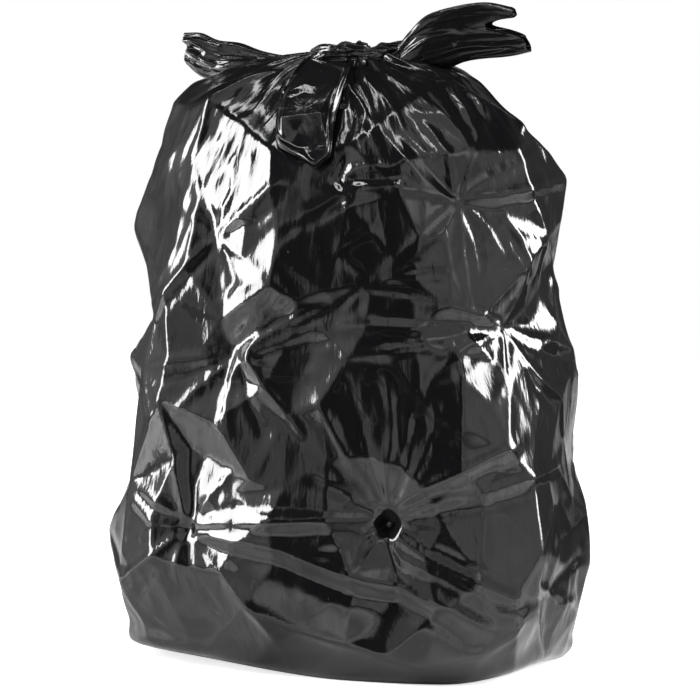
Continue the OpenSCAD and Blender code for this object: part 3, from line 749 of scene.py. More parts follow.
# %% Height of the folds
def fold_relief(s, m):
    """Sum over the folds of share x height x (4t(1-t))^(1/4) x (1 - d / reach)^2. Here t is the
    share of the fold's length at the nearest place on it, and d = sqrt(distance^2 + r^2) - r,
    which rounds the top with the radius r."""
    relief = np.zeros(s.shape)
    for height, reach, line in FOLDS:
        line = np.array(line, float)
        lengths = running_length(line)
        low, high = line.min(0) - reach - 6, line.max(0) + reach + 6
        for rows, columns, copy in window(low[0], high[0], low[1], high[1]):
            best = np.full(s[rows, columns].shape, np.inf)
            share = np.zeros(best.shape)
            for a, b, done, total in zip(line, line[1:], lengths, np.diff(lengths)):
                t, ds, dm = segment_foot(s[rows, columns] - copy, m[rows, columns], a, b)
                away = np.hypot(ds, dm)
                share = np.where(away < best, (done + t * total) / lengths[-1], share)
                best = np.minimum(away, best)
            best = np.sqrt(best**2 + FOLD_RADIUS**2) - FOLD_RADIUS
            ends = (4 * share * (1 - share) + 0.004) ** 0.25
            cusp = np.clip(1 - best / reach, 0, 1) ** 2
            relief[rows, columns] += FOLD_SHARE * height * ends * cusp
    return relief


# Around a star: (around, along, reach, number of rays, height)
RAYED_STARS = [
    (-108, 471, 46, 11, 0.4),
    (-78, 357, 50, 11, 0.4),
    (203, 511, 52, 11, 0.3),
    (90, 428, 36, 9, 0.2),
    (256, 377, 50, 11, 0.4),
    (99, 184, 70, 13, 0.5),
    (-121, 163, 56, 11, 0.4),
    (300, 100, 40, 9, 0.4),
    (262, 500, 36, 9, 0.3),
]


def star_relief(s, m):
    """Rays around each star: heights at random angles with straight lines between them, times
    6.75 x (1 - x)^2, which is highest at a third of the reach."""
    relief = np.zeros(s.shape)
    chance = np.random.default_rng(11)
    for around, along, reach, count, height in RAYED_STARS:
        ds, dm = wrap(s - around), m - along
        x = np.clip(np.hypot(ds, dm) / reach, 0, 1)
        rays = (np.arange(count) + chance.uniform(-0.4, 0.4, count)) * 2 * math.pi / count
        tops = np.where(np.arange(count) % 2, 1, -1) * chance.uniform(0.3, 1.2, count)
        profile_over_angle = np.interp(np.arctan2(dm, ds), rays, tops, period=2 * math.pi)
        relief += height * profile_over_angle * 6.75 * x * (1 - x) ** 2
    return relief


# %% [markdown]
# Crumples
#
# Film that has been squeezed keeps a fine pattern of small flat facets all over. It is made in
# the same way as the big creases: random places, random heights, and a triangulation between
# them. Smooth noise would look like dents in rubber, because it has no straight edges.

# %% Crumples
TINY = 1e-6


def facet_weights(places, faces, s, m):
    """For every grid place the facet it lies in, and its three weights in that facet."""
    columns_at, rows_at = s.min(0), m.min(1)
    slack_s, slack_m = np.ptp(s, 0).max() + 0.1, np.ptp(m, 1).max() + 0.1
    owner = np.zeros(s.shape, int)
    weights = np.zeros(s.shape + (3,))
    for k, face in enumerate(faces):
        a, b, c = places[face]
        if abs(double_area(a, b, c)) < TINY:
            continue
        low = places[face].min(0) - (slack_s, slack_m)
        high = places[face].max(0) + TINY
        rows = slice(*np.searchsorted(rows_at, (low[1], high[1])))
        columns = slice(*np.searchsorted(columns_at, (low[0], high[0])))
        w1, w2 = weights_in(a, b, c, s[rows, columns], m[rows, columns])
        inside = (w1 >= -TINY) & (w2 >= -TINY) & (w1 + w2 <= 1 + TINY)
        owner[rows, columns][inside] = k
        weights[rows, columns][inside] = np.stack([1 - w1 - w2, w1, w2], -1)[inside]
    return owner, weights


def crumple(s, m, width, length, seed, period=GIRTH):
    """Heights between -1 and 1 on facets about width x length millimetres in size, repeating
    after one period around."""
    chance = np.random.default_rng(seed)
    low_m, high_m = m.min() - 2 * length, m.max() + 2 * length
    across, up = max(3, round(period / width)), round((high_m - low_m) / length) + 1
    x, y = np.meshgrid(np.arange(across), np.arange(up))
    x = (x + chance.uniform(-0.45, 0.45, x.shape) + 0.5 * (y % 2)) * period / across
    y = low_m + (y + chance.uniform(-0.45, 0.45, y.shape)) * length
    heights = chance.uniform(-1, 1, x.size)
    once = np.stack([x.ravel(), y.ravel()], -1)
    copies = range(math.floor(s.min() / period) - 1, math.ceil(s.max() / period) + 1)
    places = np.concatenate([once + (copy * period, 0) for copy in copies])
    heights = np.tile(heights, len(copies))
    keep = (places[:, 0] > s.min() - 3 * width) & (places[:, 0] < s.max() + 3 * width)
    places, heights = places[keep], heights[keep]
    stretched = [Vector((px / width, py / length)) for px, py in places]
    faces = np.array([f[:] for f in delaunay_2d_cdt(stretched, [], [], 0, 1e-6, False)[2]])
    owner, weights = facet_weights(places, faces, s, m)
    return (heights[faces[owner]] * weights).sum(-1)


# Where the film is finely crinkled: around, along, half width, half length, share
CRINKLED = [
    (-180, 600, 120, 70, 1.5),
    (100, 600, 90, 50, 1.2),
    (-190, 70, 70, 60, 1.5),
    (-60, 205, 60, 30, 0.7),
    (100, 285, 55, 75, 1.3),
    (290, 600, 80, 60, 1.5),
    (340, 480, 60, 40, 1.0),
    (330, 90, 70, 70, 1.8),
    (-90, 300, 40, 40, 1.0),
    (-210, 420, 40, 70, 0.8),
    (360, 320, 40, 60, 0.9),
    (-300, 300, 70, 120, 1.0),
    (-420, 560, 90, 80, 1.0),
    (-560, 200, 110, 90, 0.8),
    (-700, 460, 100, 120, 1.0),
    (640, 220, 100, 90, 0.9),
    (520, 480, 90, 110, 1.0),
]
CRINKLED_ALL_OVER = 0.12


def crinkled(s, m):
    """Share of the fine crinkles: a little all over, and more by e^-(distance^4) in patches."""
    share = CRINKLED_ALL_OVER + 0 * s
    for around, along, half_width, half_length, extra in CRINKLED:
        x = (wrap(s - around) / half_width) ** 2 + ((m - along) / half_length) ** 2
        share = share + extra * np.exp(-(x**2))
    return share


# %% [markdown]
# The neck and the underside
#
# Three places need a form of their own. Pleats run from the shoulders up into the neck, because
# a metre and a half of film has to pass through a knot. A zigzag in the height makes them sharp,
# as folded film is; a sine would make them look poured. Under the loop that hangs from the knot
# the film is pressed flat. And the underside lifts off the floor at the front corners, where the
# filling doesn't push it down.

# %% Pleats, pressed patch and tuck
PRESSED_FOOT, PRESSED_LEFT, PRESSED_RIGHT, PRESSED_WAIST = (20, 553), -46, 36, 588
PLEATS, PLEATS_FROM, PLEATS_FULL = 22, 625, 735
WIDE_PLEAT, FINE_PLEAT = 5, 1.4
PRESSED_RELIEF = 0.15
TUCK_HEIGHT, TUCK_REACH = 16, 110
# Where the underside lifts: place around, reach, share
TUCKS = [(-190, 250, 1), (300, 130, 0.7)]


def pressed_inside(s, m):
    """How far a place lies inside the patch that the hanging loop presses flat: the least of the
    ways to its two upright sides, which lean above its waist, and to its pointed foot."""
    above_waist = np.maximum(0, m - PRESSED_WAIST)
    left = s - PRESSED_LEFT - above_waist * 0.16
    right = PRESSED_RIGHT - s + above_waist * 0.1
    to_foot = s - PRESSED_FOOT[0]
    below = m - PRESSED_FOOT[1] - np.abs(to_foot) * np.where(to_foot < 0, 0.5, 0.9)
    return np.minimum(np.minimum(left, right), below)


def zigzag(turns):
    """A sharp zigzag between -1 and 1, once up and down for each whole turn."""
    return 1 - 2 * np.abs(2 * (turns - np.floor(turns)) - 1)


def pleat_relief(s, m):
    """Two sizes of pleats, bent a little so that no two are alike, growing towards the neck."""
    bend = 0.9 * np.sin(5 * math.pi * s / GIRTH) + 0.35 * np.sin(m / 31 + s / 90)
    grown = smooth((m - PLEATS_FROM) / (PLEATS_FULL - PLEATS_FROM))
    wide = WIDE_PLEAT * zigzag(PLEATS * s / GIRTH + bend) * grown
    fine = FINE_PLEAT * zigzag(2.7 * PLEATS * s / GIRTH + 2 * bend) * grown
    return (wide + fine) * smooth((FILM_LENGTH - m) / 30)


def tuck(s):
    """How much the underside lifts at a place around the bag, from 0 to 1: the highest of the
    soft steps of 1 - distance / reach, each times its share."""
    lifts = [share * smooth(1 - np.abs(wrap(s - around)) / reach) for around, reach, share in TUCKS]
    return np.max(lifts, axis=0)


# What fills the bag presses outward, and a star's middle is pinched in: around, along, reach, height
LUMPS = [
    (403, 540, 70, 5),
    (420, 300, 80, 7),
    (440, 160, 80, 5),
    (-130, 60, 70, 4),
    (250, 60, 60, 4),
    (60, 30, 60, -4),
    (-250, 460, 80, -5),
    (-245, 560, 70, 7),
    (0, 120, 110, 5),
    (97, 178, 18, -15),
    (-122, 162, 16, -5),
    (200, 300, 60, 4),
    (-600, 500, 110, 9),
    (-480, 300, 90, 8),
    (-700, 200, 110, 8),
    (560, 260, 90, 8),
    (600, 620, 90, 6),
]


def lump_relief(s, m):
    """Soft round swellings and pits: height x the soft step of 1 - distance / reach."""
    relief = np.zeros(s.shape)
    for around, along, reach, height in LUMPS:
        away = np.hypot(wrap(s - around), m - along)
        relief += height * smooth(1 - away / reach)
    return relief


# %% [markdown]
# The film
#
# Now all the layers come together: the smooth bag, its facets, which cut the round shape flat
# between the stars and sag a little, and then the folds, pleats and crumples as heights along
# the outward normal. Two passes of smoothing at the end give every crease the small radius that
# real film has. They are light around the deep stars, where the film is pinched hardest.

# %% Work out the film
FLATNESS = 0.9
SAG, SAG_GROWS_TO = 0.02, 90
DEEP_STAR, PINCHED_REACH = -12, 45
BROAD_CRUMPLE, BROAD_HEIGHT = (34, 60), 0.7
FINE_CRUMPLE, FINE_HEIGHT = (11, 26), 0.7
SOFTENING, SOFTENING_AT_STARS = 0.7, 0.2


def faceted(s, m):
    """The corner places of a facet, mixed by weight, are a flat facet. It is mixed with the
    round bag at the same height, and pressed in by sag x 27 x w0 x w1 x w2, most in its middle."""
    owner, weights = facet_weights(NET_PLACES, NET_FACES, s, m)
    corners = film_point(*NET_PLACES.T) + outward(*NET_PLACES.T) * NET_HEIGHTS[:, None]
    flat = (corners[NET_FACES[owner]] * weights[..., None]).sum(-2)
    height = (NET_HEIGHTS[NET_FACES[owner]] * weights).sum(-1)
    a, b, c = (NET_PLACES[NET_FACES[:, k]].T for k in range(3))
    size = np.sqrt(np.abs(double_area(a, b, c)) / 2)
    sag = SAG * np.minimum(size, SAG_GROWS_TO)[owner] * 27 * weights.prod(-1)
    normal = outward(s, m)
    smooth_bag = film_point(s, m)
    share = (FLATNESS * smooth((m + 20) / 60) * smooth((FILM_LENGTH - 70 - m) / 90))[..., None]
    ends = smooth(m / 40) * smooth((FILM_LENGTH - 40 - m) / 100)
    round_place = smooth_bag + normal * (height * ends)[..., None]
    return round_place + share * (flat - round_place) - normal * (sag * ends)[..., None]


def near_stars(s, m):
    """1 at a deep star in front, falling as a bell to 0 a few centimetres away."""
    near = np.zeros(s.shape)
    for (around, along), height in STARS.items():
        if height < DEEP_STAR and FRONT_FROM < around < FRONT_TO:
            away = np.hypot(wrap(s - around), m - along)
            near = np.maximum(near, np.exp(-((away / PINCHED_REACH) ** 2)))
    return near


def softened(p, share):
    """Each place moves a share of the way to the mean of its four neighbours on the film."""
    around = (np.roll(p, 1, 1) + np.roll(p, -1, 1)) / 2
    along = p.copy()
    along[1:-1] = (p[:-2] + p[2:]) / 2
    moved = p + share * ((around + along) / 2 - p)
    moved[0], moved[-1] = p[0], p[-1]
    return moved


def film_lines():
    """All sides of the facets and all folds, which the grid is pulled onto."""
    sides = {tuple(sorted((i, k))) for face in NET_FACES for i, k in zip(face, np.roll(face, 1))}
    middle = [(NET_PLACES[i], NET_PLACES[k]) for i, k in sides]
    lines = [(a, b) for a, b in middle if abs(a[0] + b[0]) <= GIRTH + 0.1]
    for _, _, line in FOLDS:
        lines += list(zip(line, line[1:]))
    return lines


def film_places():
    """Film places, and the points of the film there, in millimetres."""
    s, m = pulled_grid(film_lines())
    outside = 1 - smooth((pressed_inside(wrap(s), m) + 4) / 8)
    ends = smooth(m / 40) * smooth((FILM_LENGTH - m) / 120)
    rough = crinkled(s, m)
    relief = (fold_relief(s, m) + star_relief(s, m) + lump_relief(s, m)) * ends
    relief += BROAD_HEIGHT * crumple(s, m, *BROAD_CRUMPLE, 3) * ends
    relief += FINE_HEIGHT * rough * crumple(s, m, *FINE_CRUMPLE, 5) * ends
    relief += pleat_relief(wrap(s), m)
    relief = relief * (PRESSED_RELIEF + (1 - PRESSED_RELIEF) * outside)
    p = faceted(s, m) + outward(s, m) * relief[..., None]
    p[-1] = film_point(s[-1], m[-1])
    share = SOFTENING + (SOFTENING_AT_STARS - SOFTENING) * near_stars(s, m)[..., None]
    for _ in range(2):
        p = softened(p, share)
    p[..., 2] += TUCK_HEIGHT * tuck(s) * smooth(1 - m / TUCK_REACH)
    return s, m, p


FILM_S, FILM_M, FILM = film_places()
print("film from", FILM.reshape(-1, 3).min(0).round(), "to", FILM.reshape(-1, 3).max(0).round())


# %% Underside
FOOT_INSET, TUCKED_INSET = 0.96, 0.4


def underside(first_ring, around):
    """Rings from the film's lowest ring to its foot on the floor, and on towards a pole: at a
    share t of the way out the first few stand t^1.6 as high, and the rest lie flat."""
    foot = first_ring * (1 - TUCKED_INSET * tuck(around))[:, None] * (FOOT_INSET, FOOT_INSET, 0)
    rolled = [foot + (first_ring - foot) * (t, t, t**1.6) for t in (0.85, 0.65, 0.42, 0.2)]
    flat = [foot * (t, t, 0) for t in (1, 0.8, 0.55, 0.3, 0.1)]
    return np.array(rolled + flat)


BASE = underside(FILM[0], FILM_S[0])
print("underside of", len(BASE), "rings")


# %% Make a mesh from rings
SLIVER = 0.15
UNDERSIDE_STEP = 12.0


def area_of(flat, i, j, k):
    """Areas of triangles, given by three lists of corners: half the cross product's length."""
    return np.linalg.norm(np.cross(flat[j] - flat[i], flat[k] - flat[i]), axis=-1) / 2


def split_squares(p, closed=True):
    """Two triangles for each square of a grid. It is cut along the diagonal whose ends stand
    further out along the square's own normal, unless that would leave a sliver."""
    rows, columns = p.shape[:2]
    index = np.arange(rows * columns).reshape(rows, columns)
    last = columns if closed else columns - 1
    a, b = index[:-1, :last], np.roll(index, -1, 1)[:-1, :last]
    d, c = index[1:, :last], np.roll(index, -1, 1)[1:, :last]
    flat = p.reshape(-1, 3)
    normal = np.cross(flat[c] - flat[a], flat[d] - flat[b])
    lift = ((flat[a] + flat[c] - flat[b] - flat[d]) * normal).sum(-1)
    thin_ac = np.minimum(area_of(flat, a, b, c), area_of(flat, a, c, d))
    thin_bd = np.minimum(area_of(flat, a, b, d), area_of(flat, b, c, d))
    along_ac = np.where(thin_bd < SLIVER * thin_ac, True, lift > 0)
    along_ac = np.where(thin_ac < SLIVER * thin_bd, False, along_ac)[..., None]
    first = np.where(along_ac, np.stack([a, b, c], -1), np.stack([a, b, d], -1))
    second = np.where(along_ac, np.stack([a, c, d], -1), np.stack([b, c, d], -1))
    return np.concatenate([first.reshape(-1, 3), second.reshape(-1, 3)])


def mesh_object(name, points, triangles, uv=None):
    """A mesh object in metres at the origin, smooth shaded, with a film map if one is given."""
    mesh = bpy.data.meshes.new(name)
    mesh.vertices.add(len(points))
    mesh.vertices.foreach_set("co", (np.asarray(points) * MM).astype(np.float32).ravel())
    mesh.loops.add(triangles.size)
    mesh.loops.foreach_set("vertex_index", triangles.astype(np.int32).ravel())
    mesh.polygons.add(len(triangles))
    mesh.polygons.foreach_set("loop_start", np.arange(0, triangles.size, 3, dtype=np.int32))
    mesh.update(calc_edges=True)
    mesh.polygons.foreach_set("use_smooth", np.ones(len(triangles), bool))
    if uv is not None:
        layer = mesh.uv_layers.new(name="film_map")
        layer.data.foreach_set("uv", (uv * MM).astype(np.float32).ravel())
    mesh.validate()
    low, high = np.min(points, 0), np.max(points, 0)
    print(name, len(triangles), "triangles, from", low.round(), "to", high.round())
    return add_object(name, mesh)


def corner_map(around, along, triangles, period):
    """Film map for each triangle corner; a triangle across the seam keeps its corners together."""
    u, v = around.ravel()[triangles], along.ravel()[triangles]
    u = np.where(u - u.max(1, keepdims=True) < -period / 2, u + period, u)
    return np.stack([u, v], -1)


def make_film():
    """Underside, film and neck as one pile of rings with a pole at each end."""
    rings = np.concatenate([BASE[::-1], FILM])
    around = np.concatenate([np.repeat(FILM_S[:1], len(BASE), 0), FILM_S])
    below = -np.arange(len(BASE), 0, -1)[:, None] * UNDERSIDE_STEP * np.ones_like(FILM_S[:1])
    along = np.concatenate([below, FILM_M])
    count, columns = rings.shape[:2]
    triangles = split_squares(rings)
    top, bottom = count * columns, count * columns + 1
    points = np.concatenate([rings.reshape(-1, 3), [rings[-1].mean(0), rings[0].mean(0)]])
    ring = np.arange(columns)
    following = np.roll(ring, -1)
    last = (count - 1) * columns
    lid = np.stack([ring + last, following + last, ring * 0 + top], -1)
    floor = np.stack([following, ring, ring * 0 + bottom], -1)
    triangles = np.concatenate([triangles, lid, floor])
    around = np.concatenate([around.ravel(), [0, 0]])
    along = np.concatenate([along.ravel(), [FILM_LENGTH + 20, -120]])
    return mesh_object("bag_film", points, triangles, corner_map(around, along, triangles, GIRTH))


bag_film = make_film()

# %% [markdown]
# The knot
#
# The neck of the bag is drawn into a flat rope and tied over itself. Each strand of that rope is
# a gathered tube of film: round as a whole, and full of sharp pleats that run along it and
# twist slowly. A tube swept along a smooth way does that, with the pleats in its cross-section.

# %% Strands of the knot
KNOT = np.array([0, 0, NECK_HEIGHT])
STRAND = 22


def curve_through(stops, count):
    """So many points of a smooth curve through all stops."""
    stops = np.array(stops, float)
    return cubic_through(stops, np.linspace(0, len(stops) - 1, count))


def gathered_tube(name, stops, pleats, twist, start, flat=0.75, sides=110, stations=150):
    """A tube along the stops (x, y, z, share of the thickness, roll). Its radius at an angle is
    r (1 + 0.15 zigzag(pleats x turn + twist x way) + finer pleats), and it is flattened."""
    way = curve_through(stops, stations)
    centre, radius, roll = way[:, :3] + KNOT, way[:, 3] * STRAND / 2, way[:, 4]
    forward = np.gradient(centre, axis=0)
    forward /= np.linalg.norm(forward, axis=1, keepdims=True)
    side = np.cross(forward, (0.13, 0.31, 0.94))
    side /= np.linalg.norm(side, axis=1, keepdims=True)
    upward = np.cross(side, forward)
    angle = np.linspace(0, 2 * math.pi, sides, endpoint=False)[None, :]
    t = np.linspace(0, 1, stations)[:, None]
    turns = pleats * angle / (2 * math.pi) + twist * t + start
    turns = turns + 0.3 * np.sin(3 * angle + 7 * t + 9 * start)
    depth = 0.15 * zigzag(turns) + 0.06 * zigzag(2.3 * turns + 4 * t + 0.2 * np.sin(19 * t))
    lumpy = 1 + 0.08 * np.sin(17 * t + 2 * angle + start) + 0.05 * np.sin(31 * t - angle)
    r = radius[:, None] * (1 + depth) * lumpy
    x, y = r * np.cos(angle), r * np.sin(angle) * flat
    turned_x = x * np.cos(roll)[:, None] - y * np.sin(roll)[:, None]
    turned_y = x * np.sin(roll)[:, None] + y * np.cos(roll)[:, None]
    p = centre[:, None] + turned_x[..., None] * side[:, None] + turned_y[..., None] * upward[:, None]
    return name, p, angle * 10 + 0 * t, t * 120 + 0 * angle


def make_tube(parts):
    """Closes each grid of rings with a pole at both ends and makes one mesh object of it."""
    name, p, around, along = parts
    stations, sides = p.shape[:2]
    points = np.concatenate([p.reshape(-1, 3), [p[0].mean(0), p[-1].mean(0)]])
    ring = np.arange(sides)
    following = np.roll(ring, -1)
    first = np.stack([following, ring, ring * 0 + stations * sides], -1)
    last = np.stack([ring, following, ring * 0 + stations * sides + 1], -1) + (
        (stations - 1) * sides, (stations - 1) * sides, 0)
    triangles = np.concatenate([split_squares(p), first, last])
    u = np.concatenate([around.ravel(), [0, 0]])
    v = np.concatenate([along.ravel(), [-5, 125]])
    volume = np.einsum("ij,ij->i", points[triangles[:, 0]], np.cross(
        points[triangles[:, 1]] - KNOT, points[triangles[:, 2]] - KNOT)).sum()
    if volume < 0:
        triangles = triangles[:, ::-1]
    return mesh_object(name, points, triangles, corner_map(u, v, triangles, 20 * math.pi))


LOOP = [
    (37 * math.cos(k * math.pi / 5) + 3, 29 * math.sin(k * math.pi / 5) - 8,
     5 * math.sin(k * math.pi / 2.5) - 9 - 7 * math.sin(k * math.pi / 5), 1.05, 0.4 * k)
    for k in range(-1, 11)
]
CROSSING = [
    (-34, -34, -30, 0.9, 0.3), (-16, -47, -12, 1.2, 0.2), (6, -40, 1, 1.15, 0), (22, -18, 2, 1.1, 0),
]
RIGHT_STRAND = [
    (-6, -40, -20, 0.9, 0.2), (18, -34, -8, 1, 0.2), (42, -20, 2, 0.95, 0.1), (66, -14, 8, 0.8, 0),
]
LEFT_STRAND = [(12, 10, -3, 1.1, 0), (-14, 16, -2, 1.1, 0), (-44, 22, -4, 0.9, 0), (-66, 24, -4, 0.8, 0)]
FALLING_STRAND = [
    (44, -14, -4, 1.1, 0), (24, -30, -6, 1.15, 0.3), (16, -52, -24, 1.1, 0.5),
    (20, -76, -44, 0.9, 0.6), (27, -97, -58, 0.5, 0.6),
]
CORE = [(-26, 4, -8, 1.2, 0), (-10, -2, -6, 1.7, 0.3), (8, -2, -6, 1.7, 0.6), (26, -2, -8, 1.2, 0.9)]

# Name, stops, pleats, twist, and where the pleats start
STRANDS = [
    ("knot_loop", LOOP, 9, 2, 0.1),
    ("knot_crossing", CROSSING, 8, 1.2, 0.4),
    ("knot_right_strand", RIGHT_STRAND, 8, 0.8, 0.7),
    ("knot_left_strand", LEFT_STRAND, 8, 0.8, 0.2),
    ("knot_core", CORE, 9, 1, 0.5),
    ("knot_falling_strand", FALLING_STRAND, 7, 0.6, 0.8),
]
knot_pieces = [make_tube(gathered_tube(*strand)) for strand in STRANDS]

# %% [markdown]
# The hanging loop
#
# A slack loop of film hangs out of the knot and lies on the bag's front like a flat pouch: a
# firm folded rim, and between its sides two flat parts that meet in a level crease. Its outline
# is drawn as seen from the front. Its face stands a finger's breadth off the bag, and the rim
# rolls back to touch it.

# %% Hanging loop
# Outline, clockwise from the top left: sideways and height
LOOP_OUTLINE = [
    (-30, 652), (-40, 634), (-45, 620), (-48, 607), (-46, 590), (-41, 570), (-36, 558), (-29, 551),
    (-14, 544), (2, 538), (10, 533), (16, 531), (22, 536), (29, 543), (28, 556), (24, 572),
    (22, 590), (22, 610), (22, 634), (14, 648), (-4, 656),
]
LOOP_HEART = (-12, 592)
LOOP_STAND, LOOP_CREASE, CREASE_HEIGHT = 9, 15, 586
CELL, MAP_LEFT, MAP_COLUMNS, MAP_ROWS = 5, -270, 108, 134


def front_map():
    """The film's front as a map: the least y in each cell of x and z, smoothed four times."""
    near = FILM[FILM[..., 1] < 0]
    column = np.clip((near[:, 0] - MAP_LEFT) / CELL, 0, MAP_COLUMNS - 1).astype(int)
    row = np.clip(near[:, 2] / CELL, 0, MAP_ROWS - 1).astype(int)
    depth = np.zeros((MAP_ROWS, MAP_COLUMNS))
    np.minimum.at(depth, (row, column), near[:, 1])
    for _ in range(4):
        depth[1:-1, 1:-1] = (
            4 * depth[1:-1, 1:-1] + depth[:-2, 1:-1] + depth[2:, 1:-1] + depth[1:-1, :-2] + depth[1:-1, 2:]
        ) / 8
    return depth


FRONT = front_map()


def front_of_bag(x, z):
    """Depth of the film's front at x and z, mixed from the four nearest cells of the map."""
    u = np.clip((x - MAP_LEFT) / CELL - 0.5, 0, MAP_COLUMNS - 2)
    v = np.clip(z / CELL - 0.5, 0, MAP_ROWS - 2)
    i, j = u.astype(int), v.astype(int)
    fu, fv = u - i, v - j
    low = FRONT[j, i] * (1 - fu) + FRONT[j, i + 1] * fu
    high = FRONT[j + 1, i] * (1 - fu) + FRONT[j + 1, i + 1] * fu
    return low * (1 - fv) + high * fv


def make_hanging_loop(sides=220, stations=70):
    """A face between the outline and its heart: place = heart + reach x (outline - heart). It
    stands off the bag, with a rolled rim, and runs back under itself from the outline."""
    around = curve_through([LOOP_OUTLINE[-1], *LOOP_OUTLINE, *LOOP_OUTLINE[:3]], 24 * 24)
    around = around[24 : 24 + 21 * 24][:: 504 // sides][:sides]
    face = np.linspace(0.02, 1, stations)
    back = np.linspace(1, 0.5, 12)[1:]
    reach = np.concatenate([face, back])[:, None]
    front = np.concatenate([np.ones(stations), np.zeros(11)])[:, None]
    x = LOOP_HEART[0] + reach * (around[None, :, 0] - LOOP_HEART[0])
    z = LOOP_HEART[1] + reach * (around[None, :, 1] - LOOP_HEART[1])
    angle = np.arctan2(around[:, 1] - LOOP_HEART[1], around[:, 0] - LOOP_HEART[0])[None, :]
    to_rim = np.hypot(*(around - LOOP_HEART).T)[None, :] * (1 - reach)
    rim = 3.2 * np.exp(-(((to_rim - 4.5) / 3) ** 2)) - 3.5 * np.exp(-((to_rim / 2.2) ** 2))
    above = z - CREASE_HEIGHT - 0.12 * x
    level_crease = np.clip(1 - np.where(above > 0, above / 44, -above / 34), 0, 1)
    level_crease = LOOP_CREASE * level_crease * smooth((to_rim - 2) / 12)
    slant = 3 * np.clip(1 - np.abs((x + 30) * 0.5 - (z - 612) * 0.86) / 9, 0, 1) * smooth((z - 600) / 12)
    dent = 3 * np.exp(-(((x + 14) / 14) ** 2 + ((z - 566) / 12) ** 2))
    stand = LOOP_STAND + rim + level_crease + slant - dent
    stand = np.where(front > 0.5, stand, 3 + 4 * (reach - 0.5))
    y = front_of_bag(x, z) - stand
    p = np.stack([x, y, z], -1)
    return make_tube(("hanging_loop", p, angle * 30 + 0 * reach, 140 * reach + 0 * angle))


hanging_loop = make_hanging_loop()

# %% [markdown]
# The ears
#
# Beyond the knot the open end of the bag sticks out to both sides. Each ear is the gathered
# mouth of the tube of film: a flattened funnel, narrow at the knot, wide and torn open at its
# end. It is one skin with an inside, so the surface runs out to the edge of the mouth, turns
# over a hair's breadth and runs back in again.

# %% Ears
# Edges of an ear seen from the front: places along the upper and the lower edge, knot to mouth
RIGHT_UPPER = [
    (30, -21, 646), (58, -20, 659), (72, -21, 673), (92, -21, 691), (120, -20, 700), (154, -18, 704),
    (186, -16, 697),
]
RIGHT_LOWER = [
    (34, -19, 616), (53, -19, 624), (80, -17, 629), (111, -15, 634), (138, -13, 643), (178, -10, 647),
    (203, -9, 652),
]
LEFT_UPPER = [
    (-40, -10, 652), (-70, -8, 650), (-100, -6, 655), (-128, -4, 664), (-155, -2, 667), (-176, 0, 675),
    (-197, 2, 676),
]
LEFT_LOWER = [
    (-40, -10, 632), (-70, -8, 630), (-100, -6, 628), (-127, -4, 624), (-152, -2, 624), (-176, 0, 628),
    (-192, 2, 640),
]
SKIN = 0.7


def make_ear(name, upper, lower, depth, notch, seed, sides=180, stations=120):
    """A skin between two edges: at an angle f it stands at their middle + half their distance
    x cos f, and depth x sin f out of their plane. Long facets fan out from the knot."""
    high, low = curve_through(upper, stations), curve_through(lower, stations)
    t = np.linspace(0, 1, stations)[:, None]
    angle = np.linspace(0, 2 * math.pi, sides, endpoint=False)[None, :]
    ragged = 0.03 * crumple(angle + 0 * t, 0 * angle + t, 0.5, 2.0, seed + 2, 2 * math.pi)
    cut = notch * np.exp(-(((np.cos(angle) - 0.15) / 0.3) ** 2)) + ragged
    reach = t * (1 - cut * t**2)
    place = np.clip(reach, 0, 1) * (stations - 1)
    i = np.clip(place.astype(int), 0, stations - 2)
    f = (place - i)[..., None]
    top = high[i] * (1 - f) + high[i + 1] * f
    bottom = low[i] * (1 - f) + low[i + 1] * f
    middle, half = (top + bottom) / 2, (top - bottom) / 2
    out = np.cross(half, np.gradient((high + low) / 2, axis=0)[i])
    out /= np.linalg.norm(out, axis=-1, keepdims=True)
    long_facets = crumple(angle + 0 * t, 0 * angle + t, 0.42, 0.42, seed, 2 * math.pi)
    short_facets = crumple(angle + 0 * t, 0 * angle + t, 0.2, 0.14, seed + 1, 2 * math.pi)
    folds = long_facets * (2.5 + 3.5 * reach) + 1.5 * short_facets
    swell = depth * (0.5 + 0.5 * smooth(reach * 2)) * (1 - 0.25 * reach)
    p = middle + half * (np.cos(angle) * (1 + folds / 90))[..., None]
    p += out * (np.sin(angle) * swell + folds * np.sin(angle))[..., None]
    centre = p.mean(1, keepdims=True)
    lining = p + (centre - p) / np.linalg.norm(centre - p, axis=-1, keepdims=True) * SKIN
    lined = stations - 12
    both = np.concatenate([p, lining[::-1][:lined]])
    around = np.concatenate([angle * 14 + 0 * t, angle * 14 + 0 * t[:lined]])
    along = np.concatenate([reach * 180, (reach * 180)[::-1][:lined]])
    return make_tube((name, both, around, along))


ears = [
    make_ear("right_ear", RIGHT_UPPER, RIGHT_LOWER, 13, 0.2, 21),
    make_ear("left_ear", LEFT_UPPER, LEFT_LOWER, 11, 0.05, 31),
]

# %% [markdown]
# Black film
#
# Thin polyethylene coloured with soot: hardly any colour comes back from inside it, so all that
# shows is gloss. The look is in how the gloss breaks up. Fine crinkles run along the film where
# it was drawn, smaller dimples lie between them, and handling leaves dull patches.

# %% Shader nodes
def add_node(tree, kind, inputs, **settings):
    """A shader node with its settings. Each input gets a link from another node's socket, or a
    plain value."""
    node = tree.nodes.new("ShaderNode" + kind)
    for name, value in settings.items():
        setattr(node, name, value)
    for name, value in inputs.items():
        if isinstance(value, bpy.types.NodeSocket):
            tree.links.new(value, node.inputs[name])
        else:
            node.inputs[name].default_value = value
    return node


def ramp(tree, value, low, high, first=0, last=1, **settings):
    """The first value up to low, the last one from high on, and a straight line between."""
    inputs = {"Value": value, "From Min": low, "From Max": high, "To Min": first, "To Max": last}
    return add_node(tree, "MapRange", inputs, **settings).outputs["Result"]


